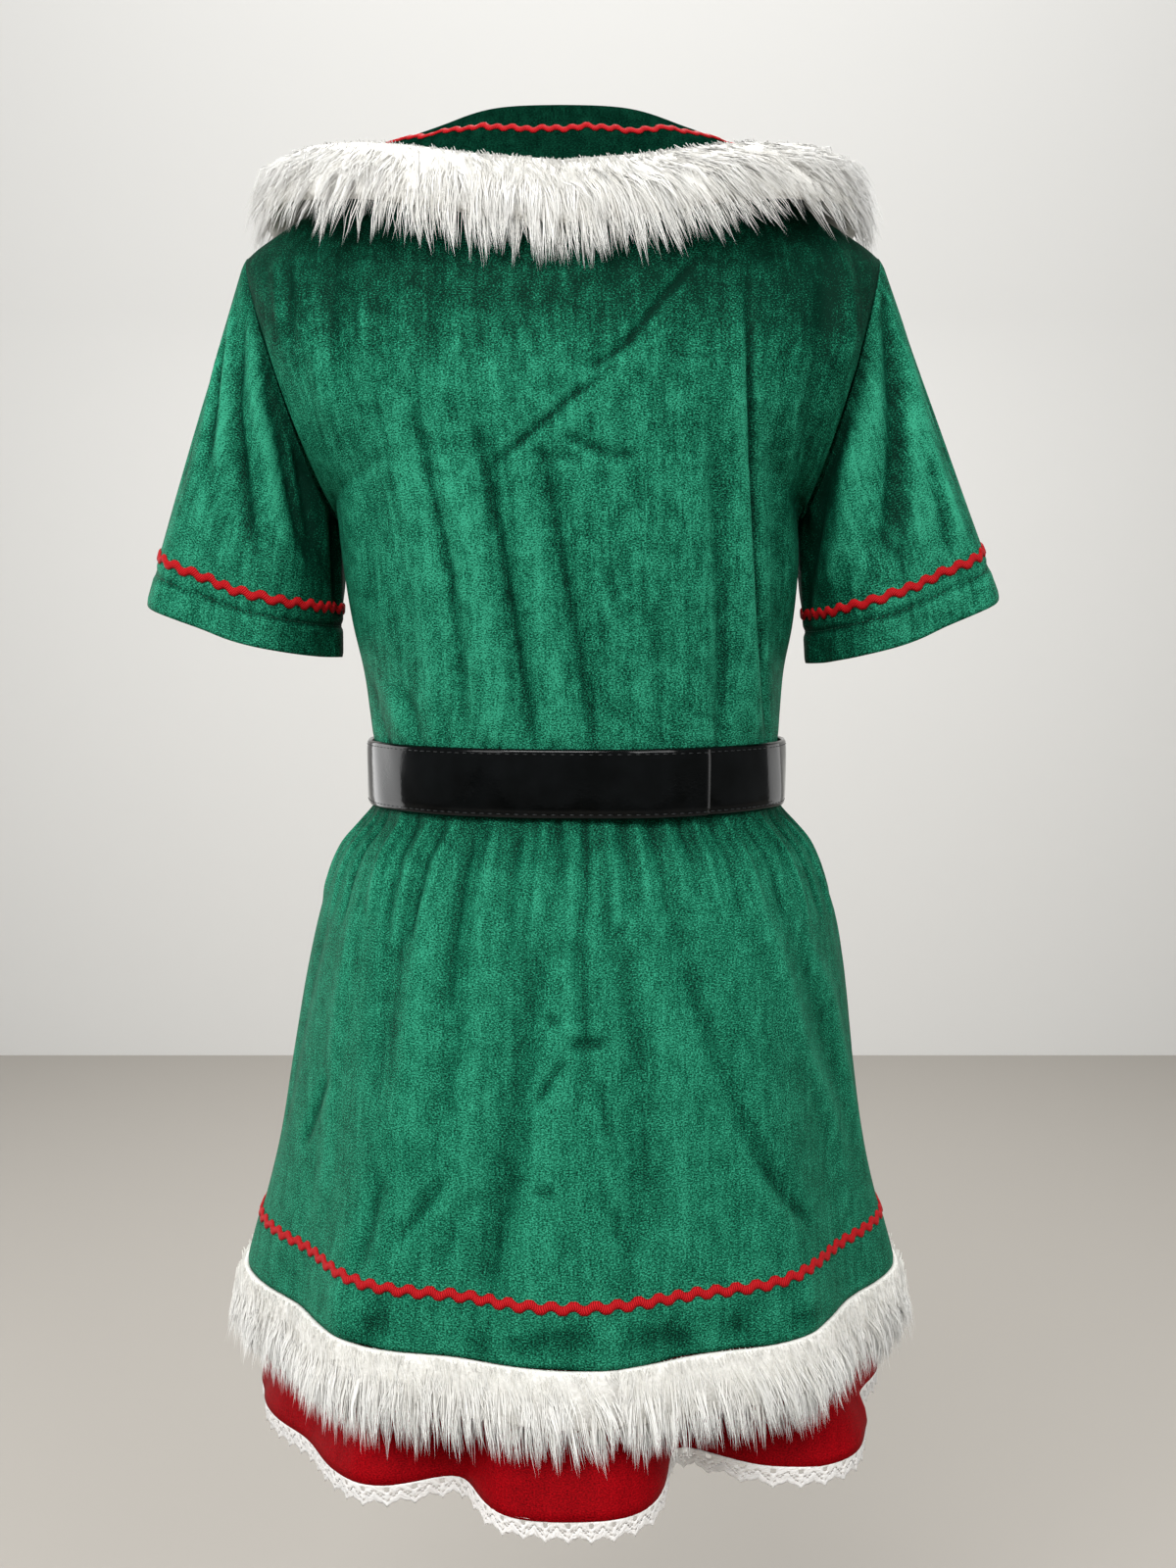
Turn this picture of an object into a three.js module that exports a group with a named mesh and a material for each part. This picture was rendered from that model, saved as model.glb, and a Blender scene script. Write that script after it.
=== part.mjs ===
// An elf costume: a short-sleeved dress of green velvet, worn and hollow, as a general figure fills it.
// Millimetres, +Z up. The front faces -Y, the back +Y, and the wearer's left is +X.
// The origin lies midway between the inner ends of the two shoulder seams, where the neck carries the dress.
import * as THREE from "three";

// ---- Driving dimensions -------------------------------------------------------------------------
const VELVET = 1.5; // wall of the velvet
const SEAM = 0.3; // clearance between two pieces that are sewn together
const RESTS = 0.45; // clearance under a piece that follows a curved one
const COLLAR_CLOTH = 1.6;
const LACE = { cloth: 1.0, width: 13, openDegrees: 3 };
const BRAID = { cloth: 1.2, width: 9 }; // ric-rac
const BRAID_FROM_SLEEVE_HEM = 31;
const BELT = { cloth: 2.4, width: 41, ease: 1.6, lapStart: 110, lapColumns: 2, climbColumns: 3, columns: 45 };
const WAIST = -390.5; // height of the waist seam, which the belt covers

const NECK = { side: 70, back: 50, front: 72, napeDrop: 6, frontDrop: 75 };
const SHOULDER = { tip: 195, drop: 73, slope: 1.14 };
const UNDERARM = { out: 145, drop: 232 };
const ARMHOLE = { depth: 47, backHollow: -2.5, frontHollow: 8 };

const BODICE_COLUMNS = 16; // across each panel
const NECK_SHARE = 1 / 2; // of a panel's top that is neckline
const ARMHOLE_ROWS = 10; // of each panel along the armhole; a sleeve has as many columns on each side

const GREEN = 0x1f7557;
const RED = 0xb30d17;
const BRAID_RED = 0xc4161c;
const WHITE = 0xf0efea;
const BLACK = 0x0a0b0c;
const NAPPED = 0.55; // roughness of velvet
const PLAIN = 0.9; // roughness of braid, lace and fur
const GLOSSY = 0.12; // roughness of patent vinyl

// ---- Small helpers ------------------------------------------------------------------------------
const { lerp, clamp, smoothstep, degToRad } = THREE.MathUtils;
const bump = (distance, width) => Math.exp(-((distance / width) ** 2));
const ON_SEAM = 1e-6;

/** A column of a table, read smoothly at a place between its rows. The rows rise in the column "along". */
function read(rows, key, at, along) {
  const last = rows.length - 1;
  const x = clamp(at, rows[0][along], rows[last][along]);
  let i = 0;
  while (i < last - 1 && x > rows[i + 1][along]) i++;
  const slope = (a, b) => (rows[b][key] - rows[a][key]) / (rows[b][along] - rows[a][along]);
  const tangent = (k) => slope(Math.max(k - 1, 0), Math.min(k + 1, last));
  const span = rows[i + 1][along] - rows[i][along];
  const t = (x - rows[i][along]) / span;
  const t2 = t * t;
  const t3 = t2 * t;
  return (
    rows[i][key] * (2 * t3 - 3 * t2 + 1) +
    rows[i + 1][key] * (3 * t2 - 2 * t3) +
    tangent(i) * span * (t3 - 2 * t2 + t) +
    tangent(i + 1) * span * (t3 - t2)
  );
}

// How far sideways the dress hangs off plumb at each height.
const LEAN = [
  { height: -800, shift: 0 },
  { height: -640, shift: 0 },
  { height: WAIST, shift: -3.5 },
  { height: -200, shift: 2 },
  { height: -60, shift: 5 },
  { height: 20, shift: 5 },
];

/** A mesh geometry from points and triangles: the lean is put in, and the faces are turned outwards. */
function closedGeometry(points, index) {
  for (const p of points) p.x += read(LEAN, "shift", p.z, "height");
  let volume = 0;
  const cross = new THREE.Vector3();
  for (let i = 0; i < index.length; i += 3) {
    const [a, b, c] = [points[index[i]], points[index[i + 1]], points[index[i + 2]]];
    volume += a.dot(cross.crossVectors(b, c));
  }
  if (volume < 0) index.reverse();
  const geometry = new THREE.BufferGeometry().setFromPoints(points);
  geometry.setIndex(index);
  geometry.computeVertexNormals();
  return geometry;
}

/**
 * A closed wall of cloth: a grid of points on its face, and the same points moved back by its depth.
 * pointAt takes a share of the way round, anticlockwise from above, and one of the levels, which rise.
 * seam(normal, round, level) may turn the normals of a rim so that two rims lie flat together.
 */
function wall({ columns, levels, wraps = false, pointAt, depth, seam = (normal) => normal }) {
  const across = wraps ? columns : columns + 1;
  const rows = levels.length - 1;
  const at = (i, j) => j * across + (wraps ? (i + across) % across : clamp(i, 0, columns));
  const face = [];
  for (const level of levels) {
    for (let i = 0; i < across; i++) face.push(pointAt(i / columns, level));
  }
  const points = [...face];
  for (let j = 0; j <= rows; j++) {
    for (let i = 0; i < across; i++) {
      const round = face[at(i + 1, j)].clone().sub(face[at(i - 1, j)]);
      const up = face[at(i, Math.min(j + 1, rows))].clone().sub(face[at(i, Math.max(j - 1, 0))]);
      const normal = seam(round.cross(up).normalize(), i / columns, levels[j]).normalize();
      points.push(face[at(i, j)].clone().addScaledVector(normal, -depth));
    }
  }
  const behind = face.length;
  const index = [];
  const quad = (a, b, c, d) => index.push(a, b, c, a, c, d);
  for (let j = 0; j < rows; j++) {
    for (let i = 0; i < columns; i++) {
      const [a, b, c, d] = [at(i, j), at(i + 1, j), at(i + 1, j + 1), at(i, j + 1)];
      quad(a, b, c, d);
      quad(behind + a, behind + d, behind + c, behind + b);
    }
  }
  for (let i = 0; i < columns; i++) {
    const [low, lowNext, high, highNext] = [at(i, 0), at(i + 1, 0), at(i, rows), at(i + 1, rows)];
    quad(low, behind + low, behind + lowNext, lowNext);
    quad(high, highNext, behind + highNext, behind + high);
  }
  for (let j = 0; j < rows && !wraps; j++) {
    const [first, firstUp, end, endUp] = [at(0, j), at(0, j + 1), at(columns, j), at(columns, j + 1)];
    quad(first, firstUp, behind + firstUp, behind + first);
    quad(end, behind + end, behind + endUp, endUp);
  }
  return closedGeometry(points, index);
}

/** Braid sewn flat on a wall between two of its levels: the wall's own facets, moved out. */
function braidOn({ columns, below, above, pointAt, bottom, top }) {
  const onFacet = (round, share) => pointAt(round, below).lerp(pointAt(round, above), share);
  const raised = (round, share) => {
    const along = onFacet(round + 1 / columns, share).sub(onFacet(round - 1 / columns, share));
    const up = onFacet(round, 1).sub(onFacet(round, 0));
    return onFacet(round, share).addScaledVector(along.cross(up).normalize(), RESTS);
  };
  return wall({ columns, levels: [bottom, top], wraps: true, pointAt: raised, depth: -BRAID.cloth });
}

/** A solid like a rope: a ring of points for each station along it, closed at both ends. */
function rope({ stations, sides, pointAt }) {
  const points = [];
  for (let i = 0; i <= stations; i++) {
    for (let k = 0; k < sides; k++) points.push(pointAt(i / stations, k / sides));
  }
  const at = (i, k) => i * sides + (k % sides);
  const index = [];
  for (let i = 0; i < stations; i++) {
    for (let k = 0; k < sides; k++) {
      const [a, b, c, d] = [at(i, k), at(i + 1, k), at(i + 1, k + 1), at(i, k + 1)];
      index.push(a, b, c, a, c, d);
    }
  }
  for (let k = 1; k < sides - 1; k++) {
    index.push(at(0, 0), at(0, k), at(0, k + 1));
    index.push(at(stations, 0), at(stations, k + 1), at(stations, k));
  }
  return closedGeometry(points, index);
}

const dress = new THREE.Group();
dress.name = "elf_dress";

function piece(name, geometry, color, roughness) {
  const mesh = new THREE.Mesh(geometry, new THREE.MeshStandardMaterial({ color, roughness, metalness: 0 }));
  mesh.name = name;
  dress.add(mesh);
}

// ---- Bodice: back and front panels, joined at the shoulders and sides ---------------------------
// Half width of the worn bodice, and its depth on the middle line of the back and of the front.
const TORSO = [
  { height: WAIST, side: 128.5, back: 97, front: 88 },
  { height: -372, side: 129, back: 97.5, front: 88.5 },
  { height: -350, side: 131, back: 99, front: 92 },
  { height: -327, side: 133.5, back: 100, front: 96 },
  { height: -300, side: 138.5, back: 102, front: 102 },
  { height: -265, side: 142.5, back: 104.5, front: 110 },
  { height: -230, side: 145, back: 107, front: 116 },
  { height: -190, side: 150, back: 109, front: 117 },
  { height: -150, side: 158, back: 109, front: 113 },
  { height: -110, side: 170, back: 107.5, front: 106 },
  { height: -60, side: 195, back: 105, front: 100 },
  { height: 10, side: 195, back: 102, front: 96 },
];
const BUST = { out: 74, height: -228, reach: 13, width: 52, tall: 58 };
// rounding is the height over which the cloth rounds from its top edge to the upright, and way its side.
const BACK = { middle: "back", way: 1, neck: NECK.back, drop: NECK.napeDrop, hollow: ARMHOLE.backHollow };
const FRONT = { middle: "front", way: -1, neck: NECK.front, drop: NECK.frontDrop, hollow: ARMHOLE.frontHollow };
const ROUNDING = { atNeck: 170, atArm: 100 };

/** The armhole's edge on the wearer's left: turn 0 is the shoulder tip, half a turn is the underarm. */
function armholeEdge(turn, way, hollow) {
  const [c, s] = [Math.cos(turn), Math.abs(Math.sin(turn))];
  const x = (SHOULDER.tip + UNDERARM.out) / 2 - hollow * s + (c * (SHOULDER.tip - UNDERARM.out)) / 2;
  const height = -(SHOULDER.drop + UNDERARM.drop) / 2 + (c * (UNDERARM.drop - SHOULDER.drop)) / 2;
  return new THREE.Vector3(x, way * ARMHOLE.depth * s, height);
}

// Levels of a panel. Up to the underarm: the height at the side seam, and how much higher the middle lies.
// Above that, armhole is a share of the way up the armhole.
const BODICE_LEVELS = [
  { height: WAIST + SEAM / 2, lift: 0, armhole: 0 },
  { height: -368, lift: 0, armhole: 0 },
  { height: -324, lift: 12, armhole: 0 },
  { height: -278, lift: 24, armhole: 0 },
  { height: -UNDERARM.drop, lift: 36, armhole: 0 },
];
const underarmLevel = BODICE_LEVELS[BODICE_LEVELS.length - 1];
for (let row = 1; row <= ARMHOLE_ROWS; row++) {
  BODICE_LEVELS.push({ ...underarmLevel, armhole: row / ARMHOLE_ROWS });
}

/** The outer edge of a panel at a level: its side seam, then its armhole. */
function panelEdge(panel, level) {
  if (level.armhole > 0) return armholeEdge(Math.PI * (1 - level.armhole), panel.way, panel.hollow);
  return new THREE.Vector3(read(TORSO, "side", level.height, "height"), 0, level.height);
}

/** The neckline at a turn from the middle of the back or front towards the shoulder. */
function neckEdge(panel, turn) {
  const c = Math.cos(turn);
  return new THREE.Vector3(NECK.side * Math.sin(turn), panel.way * panel.neck * c, -panel.drop * c ** 1.25);
}

/** The same edge as the panel's own facets give it. */
function neckFacet(panel, turn) {
  const step = Math.PI / (NECK_SHARE * BODICE_COLUMNS);
  const k = Math.min(Math.floor(turn / step + ON_SEAM), Math.PI / 2 / step - 1);
  return neckEdge(panel, k * step).lerp(neckEdge(panel, (k + 1) * step), turn / step - k);
}

/** The top edge of a panel: half the neckline, then the shoulder seam. */
function panelTop(panel, out) {
  if (out < NECK_SHARE) return neckEdge(panel, ((out / NECK_SHARE) * Math.PI) / 2);
  const share = (out - NECK_SHARE) / (1 - NECK_SHARE);
  return new THREE.Vector3(lerp(NECK.side, SHOULDER.tip, share), 0, -SHOULDER.drop * share ** SHOULDER.slope);
}

/** A point of a panel's outer face. across runs from -1 to 1 over the panel. */
function bodicePoint(panel, across, level) {
  const out = Math.abs(across);
  const edge = panelEdge(panel, level);
  const top = panelTop(panel, out);
  const edgeShare = (edge.z - level.height) / (-SHOULDER.drop - level.height);
  const low = level.height + level.lift * (1 - out ** 2);
  const height = lerp(low, top.z, lerp(level.armhole, edgeShare, out ** 2));

  const towardsArm = smoothstep(out, NECK_SHARE, 1);
  const nearTop = clamp(1 - (top.z - height) / lerp(ROUNDING.atNeck, ROUNDING.atArm, towardsArm), 0, 1);
  const sloped = 1 - nearTop ** 2;
  const rounding = lerp(sloped, Math.sqrt(sloped), towardsArm);
  const turn = (out * Math.PI) / 2;
  const x = edge.x * lerp(Math.sin(turn), top.x / SHOULDER.tip, nearTop ** 2);
  const flank = Math.abs(edge.y);
  const squareness = lerp(1, 0.85, smoothstep(height, WAIST + 24, WAIST + 120));
  let depth = flank + (read(TORSO, panel.middle, height, "height") - flank) * Math.cos(turn) ** squareness;
  if (panel === FRONT) {
    depth += BUST.reach * bump(x - BUST.out, BUST.width) * bump(height - BUST.height, BUST.tall);
  }
  const y = lerp(lerp(Math.abs(top.y), flank, towardsArm ** 2), depth, rounding);
  return new THREE.Vector3(Math.sign(across) * x, panel.way * (y + SEAM / 2), height);
}

/** Along the side and shoulder seams, and at the waist, the rims lie flat against their neighbours. */
function panelSeam(normal, round, level) {
  const onSide = Math.min(round, 1 - round) < ON_SEAM && level.armhole === 0;
  const onShoulder = level.armhole === 1 && Math.abs(2 * round - 1) > NECK_SHARE - ON_SEAM;
  if (onSide || onShoulder) normal.setY(0);
  if (level === BODICE_LEVELS[0]) normal.setZ(0);
  return normal;
}

for (const [name, panel] of [["bodice_back", BACK], ["bodice_front", FRONT]]) {
  const pointAt = (round, level) => bodicePoint(panel, panel.way * (1 - 2 * round), level);
  const grid = { columns: BODICE_COLUMNS, levels: BODICE_LEVELS, pointAt };
  piece(name, wall({ ...grid, depth: VELVET, seam: panelSeam }), GREEN, NAPPED);
}

// ---- Sleeves, each a tube from its hem to its armhole -------------------------------------------
const SLEEVE_HEM = { depth: 50, sag: 7, forward: 4 };
const SLEEVES = [
  { name: "left", side: 1, out: 269, outHeight: -283, inner: 148, innerHeight: -319 },
  { name: "right", side: -1, out: 270, outHeight: -279, inner: 147, innerHeight: -323 },
];
// Folds that hang from the shoulder and deepen towards the hem, by their turn round the sleeve.
const SLEEVE_FOLDS = [
  { turn: 38, width: 15, depth: 4 },
  { turn: 74, width: 14, depth: -5 },
  { turn: 112, width: 15, depth: 5 },
  { turn: 158, width: 14, depth: -5 },
  { turn: 226, width: 16, depth: 4 },
  { turn: 278, width: 14, depth: -5 },
  { turn: 322, width: 15, depth: 4 },
];
// Levels of a sleeve: the first three in millimetres from the hem, and shares of what is left above them.
const SLEEVE_LEVELS = [
  { fromHem: 0, share: 0 },
  { fromHem: 26, share: 0 },
  { fromHem: 37, share: 0 },
  { fromHem: 37, share: 0.33 },
  { fromHem: 37, share: 0.67 },
  { fromHem: 37, share: 1 },
];

/** A point of a sleeve's outer face at a share of a turn and one of its levels. */
function sleevePoint(sleeve, round, level) {
  const turn = 2 * Math.PI * round * sleeve.side;
  const [c, s] = [Math.cos(turn), Math.sin(turn)];
  const hole = armholeEdge(turn, Math.sign(s) || 1, s < 0 ? ARMHOLE.frontHollow : ARMHOLE.backHollow);
  hole.x += RESTS + 0.2;
  const hem = new THREE.Vector3(
    lerp(sleeve.inner, sleeve.out, (1 + c) / 2),
    SLEEVE_HEM.depth * s - SLEEVE_HEM.forward,
    lerp(sleeve.innerHeight, sleeve.outHeight, (1 + c) / 2) - SLEEVE_HEM.sag * s * s,
  );
  const start = level.fromHem / hem.distanceTo(hole);
  const up = start + (1 - start) * level.share;
  const degrees = (THREE.MathUtils.radToDeg(turn) + 360) % 360;
  let fold = 0;
  for (const f of SLEEVE_FOLDS) fold += f.depth * bump(degrees - f.turn, f.width);
  const p = hem.lerp(hole, up).add(new THREE.Vector3(c, s, 0).multiplyScalar(fold * (1 - up) ** 1.3));
  return p.setX(p.x * sleeve.side);
}

/** At the armhole a sleeve's rim lies flat in the plane of the seam. */
const intoArm = new THREE.Vector3(UNDERARM.drop - SHOULDER.drop, 0, UNDERARM.out - SHOULDER.tip).normalize();
function sleeveSeam(sleeve, normal, level) {
  const across = new THREE.Vector3(intoArm.x * sleeve.side, 0, intoArm.z);
  return level.share < 1 ? normal : normal.addScaledVector(across, -normal.dot(across));
}

for (const sleeve of SLEEVES) {
  const pointAt = (round, level) => sleevePoint(sleeve, round, level);
  const columns = 2 * ARMHOLE_ROWS;
  const seam = (normal, round, level) => sleeveSeam(sleeve, normal, level);
  const tube = wall({ columns, levels: SLEEVE_LEVELS, wraps: true, pointAt, depth: VELVET, seam });
  piece(`sleeve_${sleeve.name}`, tube, GREEN, NAPPED);
  const [below, above] = [SLEEVE_LEVELS[1], SLEEVE_LEVELS[2]];
  const between = above.fromHem - below.fromHem;
  const bottom = (BRAID_FROM_SLEEVE_HEM - BRAID.width / 2 - below.fromHem) / between;
  const braid = braidOn({ columns, below, above, pointAt, bottom, top: bottom + BRAID.width / between });
  piece(`braid_sleeve_${sleeve.name}`, braid, BRAID_RED, PLAIN);
}

// ---- Collar: a wide ring that stands at the neck, rolls over and lies out over the shoulders ------
// By the angle from the middle of the back: the height of the roll, and where the outer edge lies.
const COLLAR = [
  { angle: 0, roll: 7, edge: 93, edgeHeight: -42 },
  { angle: 30, roll: 6.5, edge: 100, edgeHeight: -38 },
  { angle: 60, roll: 2.6, edge: 122, edgeHeight: -30 },
  { angle: 90, roll: 2, edge: 147, edgeHeight: -28 },
  { angle: 120, roll: 3.5, edge: 136, edgeHeight: -58 },
  { angle: 150, roll: 6, edge: 124, edgeHeight: -98 },
  { angle: 180, roll: 7, edge: 118, edgeHeight: -114 },
];
const COLLAR_COLUMNS = 32;
const COLLAR_LIFT = 1.6; // clearance above the neckline, which slants
const COLLAR_ROLL = 6; // how far out from the neckline the roll stands
const COLLAR_ARCH = 1.5; // how far the fall arches above a straight line
// Levels from the outer edge to the seam: fall is a share of the way down from the roll, and stand a share
// of the quarter turn from the seam up to the roll. The braid lies between the third and the fourth.
const COLLAR_LEVELS = [
  { fall: 1, stand: 1 },
  { fall: 0.76, stand: 1 },
  { fall: 0.55, stand: 1 },
  { fall: 0.4, stand: 1 },
  { fall: 0.15, stand: 1 },
  { fall: 0, stand: 1 },
  { fall: 0, stand: 0 },
];
const onCollar = (key, degrees) => read(COLLAR, key, degrees > 180 ? 360 - degrees : degrees, "angle");

/** A level direction for an angle from the middle of the back; positive angles go to the wearer's left. */
const planDirection = (degrees) => new THREE.Vector3(Math.sin(degToRad(degrees)), Math.cos(degToRad(degrees)), 0);

/** A point of the collar's face, at an angle from the middle of the back and at a level. */
function collarPoint(degrees, level) {
  const outward = planDirection(degrees);
  const panel = outward.y < 0 ? FRONT : BACK;
  const neck = neckFacet(panel, Math.asin(clamp(Math.abs(outward.x), 0, 1)));
  neck.x *= Math.sign(outward.x) || 1;
  const quarter = (level.stand * Math.PI) / 2;
  const roll = onCollar("roll", degrees);
  const p = neck.addScaledVector(outward, COLLAR_ROLL * (1 - Math.cos(quarter)) - COLLAR_CLOTH - SEAM);
  p.z += COLLAR_LIFT + roll * Math.sin(quarter);
  const edge = outward.multiplyScalar(onCollar("edge", degrees)).setZ(onCollar("edgeHeight", degrees));
  p.lerp(edge, level.fall);
  p.z += COLLAR_ARCH * Math.sin(Math.PI * level.fall);
  return p;
}

// Anticlockwise from above, from the middle of the front.
const collarFace = (round, level) => collarPoint((900 - 360 * round) % 360, level);
const collarRing = { columns: COLLAR_COLUMNS, wraps: true, pointAt: collarFace };
const collarSeam = (normal, round, level) => (level.stand === 0 ? normal.setZ(0) : normal);
const collarCloth = { levels: COLLAR_LEVELS, depth: COLLAR_CLOTH, seam: collarSeam };
piece("collar", wall({ ...collarRing, ...collarCloth }), GREEN, NAPPED);
const collarBraid = braidOn({
  columns: COLLAR_COLUMNS,
  below: COLLAR_LEVELS[2],
  above: COLLAR_LEVELS[3],
  pointAt: collarFace,
  bottom: 0.05,
  top: 0.95,
});
piece("braid_collar", collarBraid, BRAID_RED, PLAIN);

// The fur is sewn to the collar's edge: two strips, joined end to end near the middles of back and front.
// Corners of its section by how far out from that edge and above it they lie: at the middles of the back
// and the front, where the fur hangs, and at the sides, where it lies on the shoulders.
const COLLAR_FUR_SECTION = [
  { out: 0.7, rise: -6, sideOut: 1, sideRise: -11 },
  { out: 0.7, rise: 1, sideOut: 1, sideRise: 3 },
  { out: 4, rise: 3, sideOut: 7, sideRise: 14 },
  { out: 10, rise: -4, sideOut: 25, sideRise: 15 },
  { out: 15, rise: -22, sideOut: 43, sideRise: 4 },
  { out: 16, rise: -42, sideOut: 51, sideRise: -18 },
  { out: 11, rise: -52, sideOut: 51, sideRise: -37 },
  { out: 6, rise: -44, sideOut: 26, sideRise: -27 },
];
const COLLAR_FUR = { pitch: 360 / COLLAR_COLUMNS, backJoin: 360 / COLLAR_COLUMNS, frontJoin: 180 };
const FUR_END_GAP = 0.2; // degrees left free at each end of a strip

/** A point of the fur's envelope, at an angle from the middle of the back and round its section. */
function collarFurPoint(degrees, round) {
  const sides = COLLAR_FUR_SECTION.length;
  const corner = COLLAR_FUR_SECTION[Math.round(round * sides) % sides];
  const at = (degrees + 360) % 360;
  const sideways = Math.sin(degToRad(at)) ** 2;
  const out = onCollar("edge", at) + lerp(corner.out, corner.sideOut, sideways);
  const height = onCollar("edgeHeight", at) + lerp(corner.rise, corner.sideRise, sideways);
  return planDirection(at).multiplyScalar(out).setZ(height);
}
for (const [side, from, to] of [
  ["left", COLLAR_FUR.backJoin, COLLAR_FUR.frontJoin],
  ["right", COLLAR_FUR.frontJoin, COLLAR_FUR.backJoin + 360],
]) {
  const pointAt = (along, round) => collarFurPoint(lerp(from + FUR_END_GAP, to - FUR_END_GAP, along), round);
  const stations = Math.round((to - from) / COLLAR_FUR.pitch);
  const strip = rope({ stations, sides: COLLAR_FUR_SECTION.length, pointAt });
  piece(`fur_collar_${side}`, strip, WHITE, PLAIN);
}

// ---- Skirts: gathered at the waist, the green one over the red one --------------------------------
const BRAID_HEIGHT = -666;
const OVERSKIRT = [
  { height: -698, side: 205, back: 190, front: 180 },
  { height: -671.5, side: 198, back: 185, front: 172 },
  { height: -660.5, side: 194, back: 181, front: 168 },
  { height: -620, side: 185, back: 168.5, front: 155.5 },
  { height: -565, side: 177.5, back: 154.5, front: 141.5 },
  { height: -510, side: 169.5, back: 140, front: 128 },
  { height: -468, side: 160.5, back: 126, front: 113.5 },
  { height: -438, side: 149, back: 112.5, front: 102 },
  { height: -413, side: 129.2, back: 97.6, front: 88.6 },
  { height: WAIST - SEAM / 2, side: 128.5, back: 97, front: 88 },
];
const UNDERSKIRT = [
  { height: -780, side: 203, back: 199, front: 190 },
  { height: -748, side: 190, back: 179, front: 169 },
  { height: -700, side: 184, back: 172, front: 160 },
  { height: -560, side: 166, back: 142, front: 130 },
  { height: -460, side: 144, back: 110, front: 99 },
  { height: -413, side: 127.3, back: 95.7, front: 86.7 },
  { height: WAIST - SEAM / 2, side: 126.6, back: 95.1, front: 86.1 },
];
// Folds by their angle round the skirt, anticlockwise from the wearer's left side, so 90 is the middle of
// the back. reach is how far they come out at the hem, and above the height "from" there is none.
const OVERSKIRT_FOLDS = [
  { angle: 14, width: 9, reach: 5, from: -420 },
  { angle: 36, width: 8, reach: -6, from: -415 },
  { angle: 55, width: 9, reach: 5, from: -415 },
  { angle: 72, width: 8, reach: -5, from: -415 },
  { angle: 93, width: 9, reach: 3, from: -415 },
  { angle: 111, width: 8, reach: -5, from: -415 },
  { angle: 128, width: 8, reach: 5, from: -415 },
  { angle: 147, width: 8, reach: -6, from: -415 },
  { angle: 166, width: 8, reach: 5, from: -420 },
  { angle: 200, width: 9, reach: 5, from: -415 },
  { angle: 222, width: 8, reach: -6, from: -415 },
  { angle: 243, width: 9, reach: 5, from: -415 },
  { angle: 264, width: 8, reach: -5, from: -415 },
  { angle: 286, width: 9, reach: 6, from: -415 },
  { angle: 309, width: 8, reach: -6, from: -415 },
  { angle: 332, width: 9, reach: 5, from: -415 },
];
const UNDERSKIRT_FOLDS = [
  { angle: 36, width: 9, reach: -9, from: -470 },
  { angle: 68, width: 8, reach: -34, from: -470 },
  { angle: 117, width: 10, reach: -62, from: -470 },
  { angle: 142, width: 8, reach: 9, from: -470 },
  { angle: 163, width: 8, reach: -12, from: -470 },
  { angle: 197, width: 9, reach: -20, from: -470 },
  { angle: 228, width: 9, reach: -34, from: -470 },
  { angle: 262, width: 10, reach: -38, from: -470 },
  { angle: 297, width: 9, reach: -36, from: -470 },
  { angle: 330, width: 9, reach: -24, from: -470 },
];
const SKIRT_COLUMNS = 24; // across each panel

/** A point of a skirt's outer face at an angle from the wearer's left side, moved out by extra. */
function skirtPoint(sections, folds, degrees, height, extra = 0) {
  const turn = degToRad(degrees);
  const [c, s] = [Math.cos(turn), Math.sin(turn)];
  const side = read(sections, "side", height, "height");
  const depth = read(sections, s >= 0 ? "back" : "front", height, "height");
  let moved = extra;
  for (const f of folds) {
    const apart = Math.abs(((degrees - f.angle + 900) % 360) - 180);
    const below = clamp((f.from - height) / (f.from - sections[0].height), 0, 1);
    moved += f.reach * bump(apart, f.width) * below ** 1.2;
  }
  const outward = new THREE.Vector3(c / side, s / depth, 0).normalize();
  return new THREE.Vector3(side * c, depth * s, height).addScaledVector(outward, moved);
}

/** A skirt's two panels. Their rims lie flat along the side seams, at the waist and at the hem. */
function skirtPanels(name, sections, folds, color) {
  for (const [panel, from, apart] of [["back", 0, SEAM / 2], ["front", 180, -SEAM / 2]]) {
    const pointAt = (round, height) => {
      const p = skirtPoint(sections, folds, from + 180 * round, height);
      return p.setY(p.y + apart);
    };
    const levels = sections.map((section) => section.height);
    const seam = (normal, round, height) => {
      if (Math.min(round, 1 - round) < ON_SEAM) normal.setY(0);
      if (height === levels[0] || height === levels[levels.length - 1]) normal.setZ(0);
      return normal;
    };
    const cloth = wall({ columns: SKIRT_COLUMNS, levels, pointAt, depth: VELVET, seam });
    piece(`${name}_${panel}`, cloth, color, NAPPED);
  }
}
skirtPanels("overskirt", OVERSKIRT, OVERSKIRT_FOLDS, GREEN);
skirtPanels("underskirt", UNDERSKIRT, UNDERSKIRT_FOLDS, RED);

const overskirtFace = (round, height) => skirtPoint(OVERSKIRT, OVERSKIRT_FOLDS, 360 * round, height);
const [braidBelow, braidAbove] = [OVERSKIRT[1].height, OVERSKIRT[2].height];
const braidBottom = (BRAID_HEIGHT - BRAID.width / 2 - braidBelow) / (braidAbove - braidBelow);
const hemBraid = braidOn({
  columns: 2 * SKIRT_COLUMNS,
  below: braidBelow,
  above: braidAbove,
  pointAt: overskirtFace,
  bottom: braidBottom,
  top: braidBottom + BRAID.width / (braidAbove - braidBelow),
});
piece("braid_hem", hemBraid, BRAID_RED, PLAIN);

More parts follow.
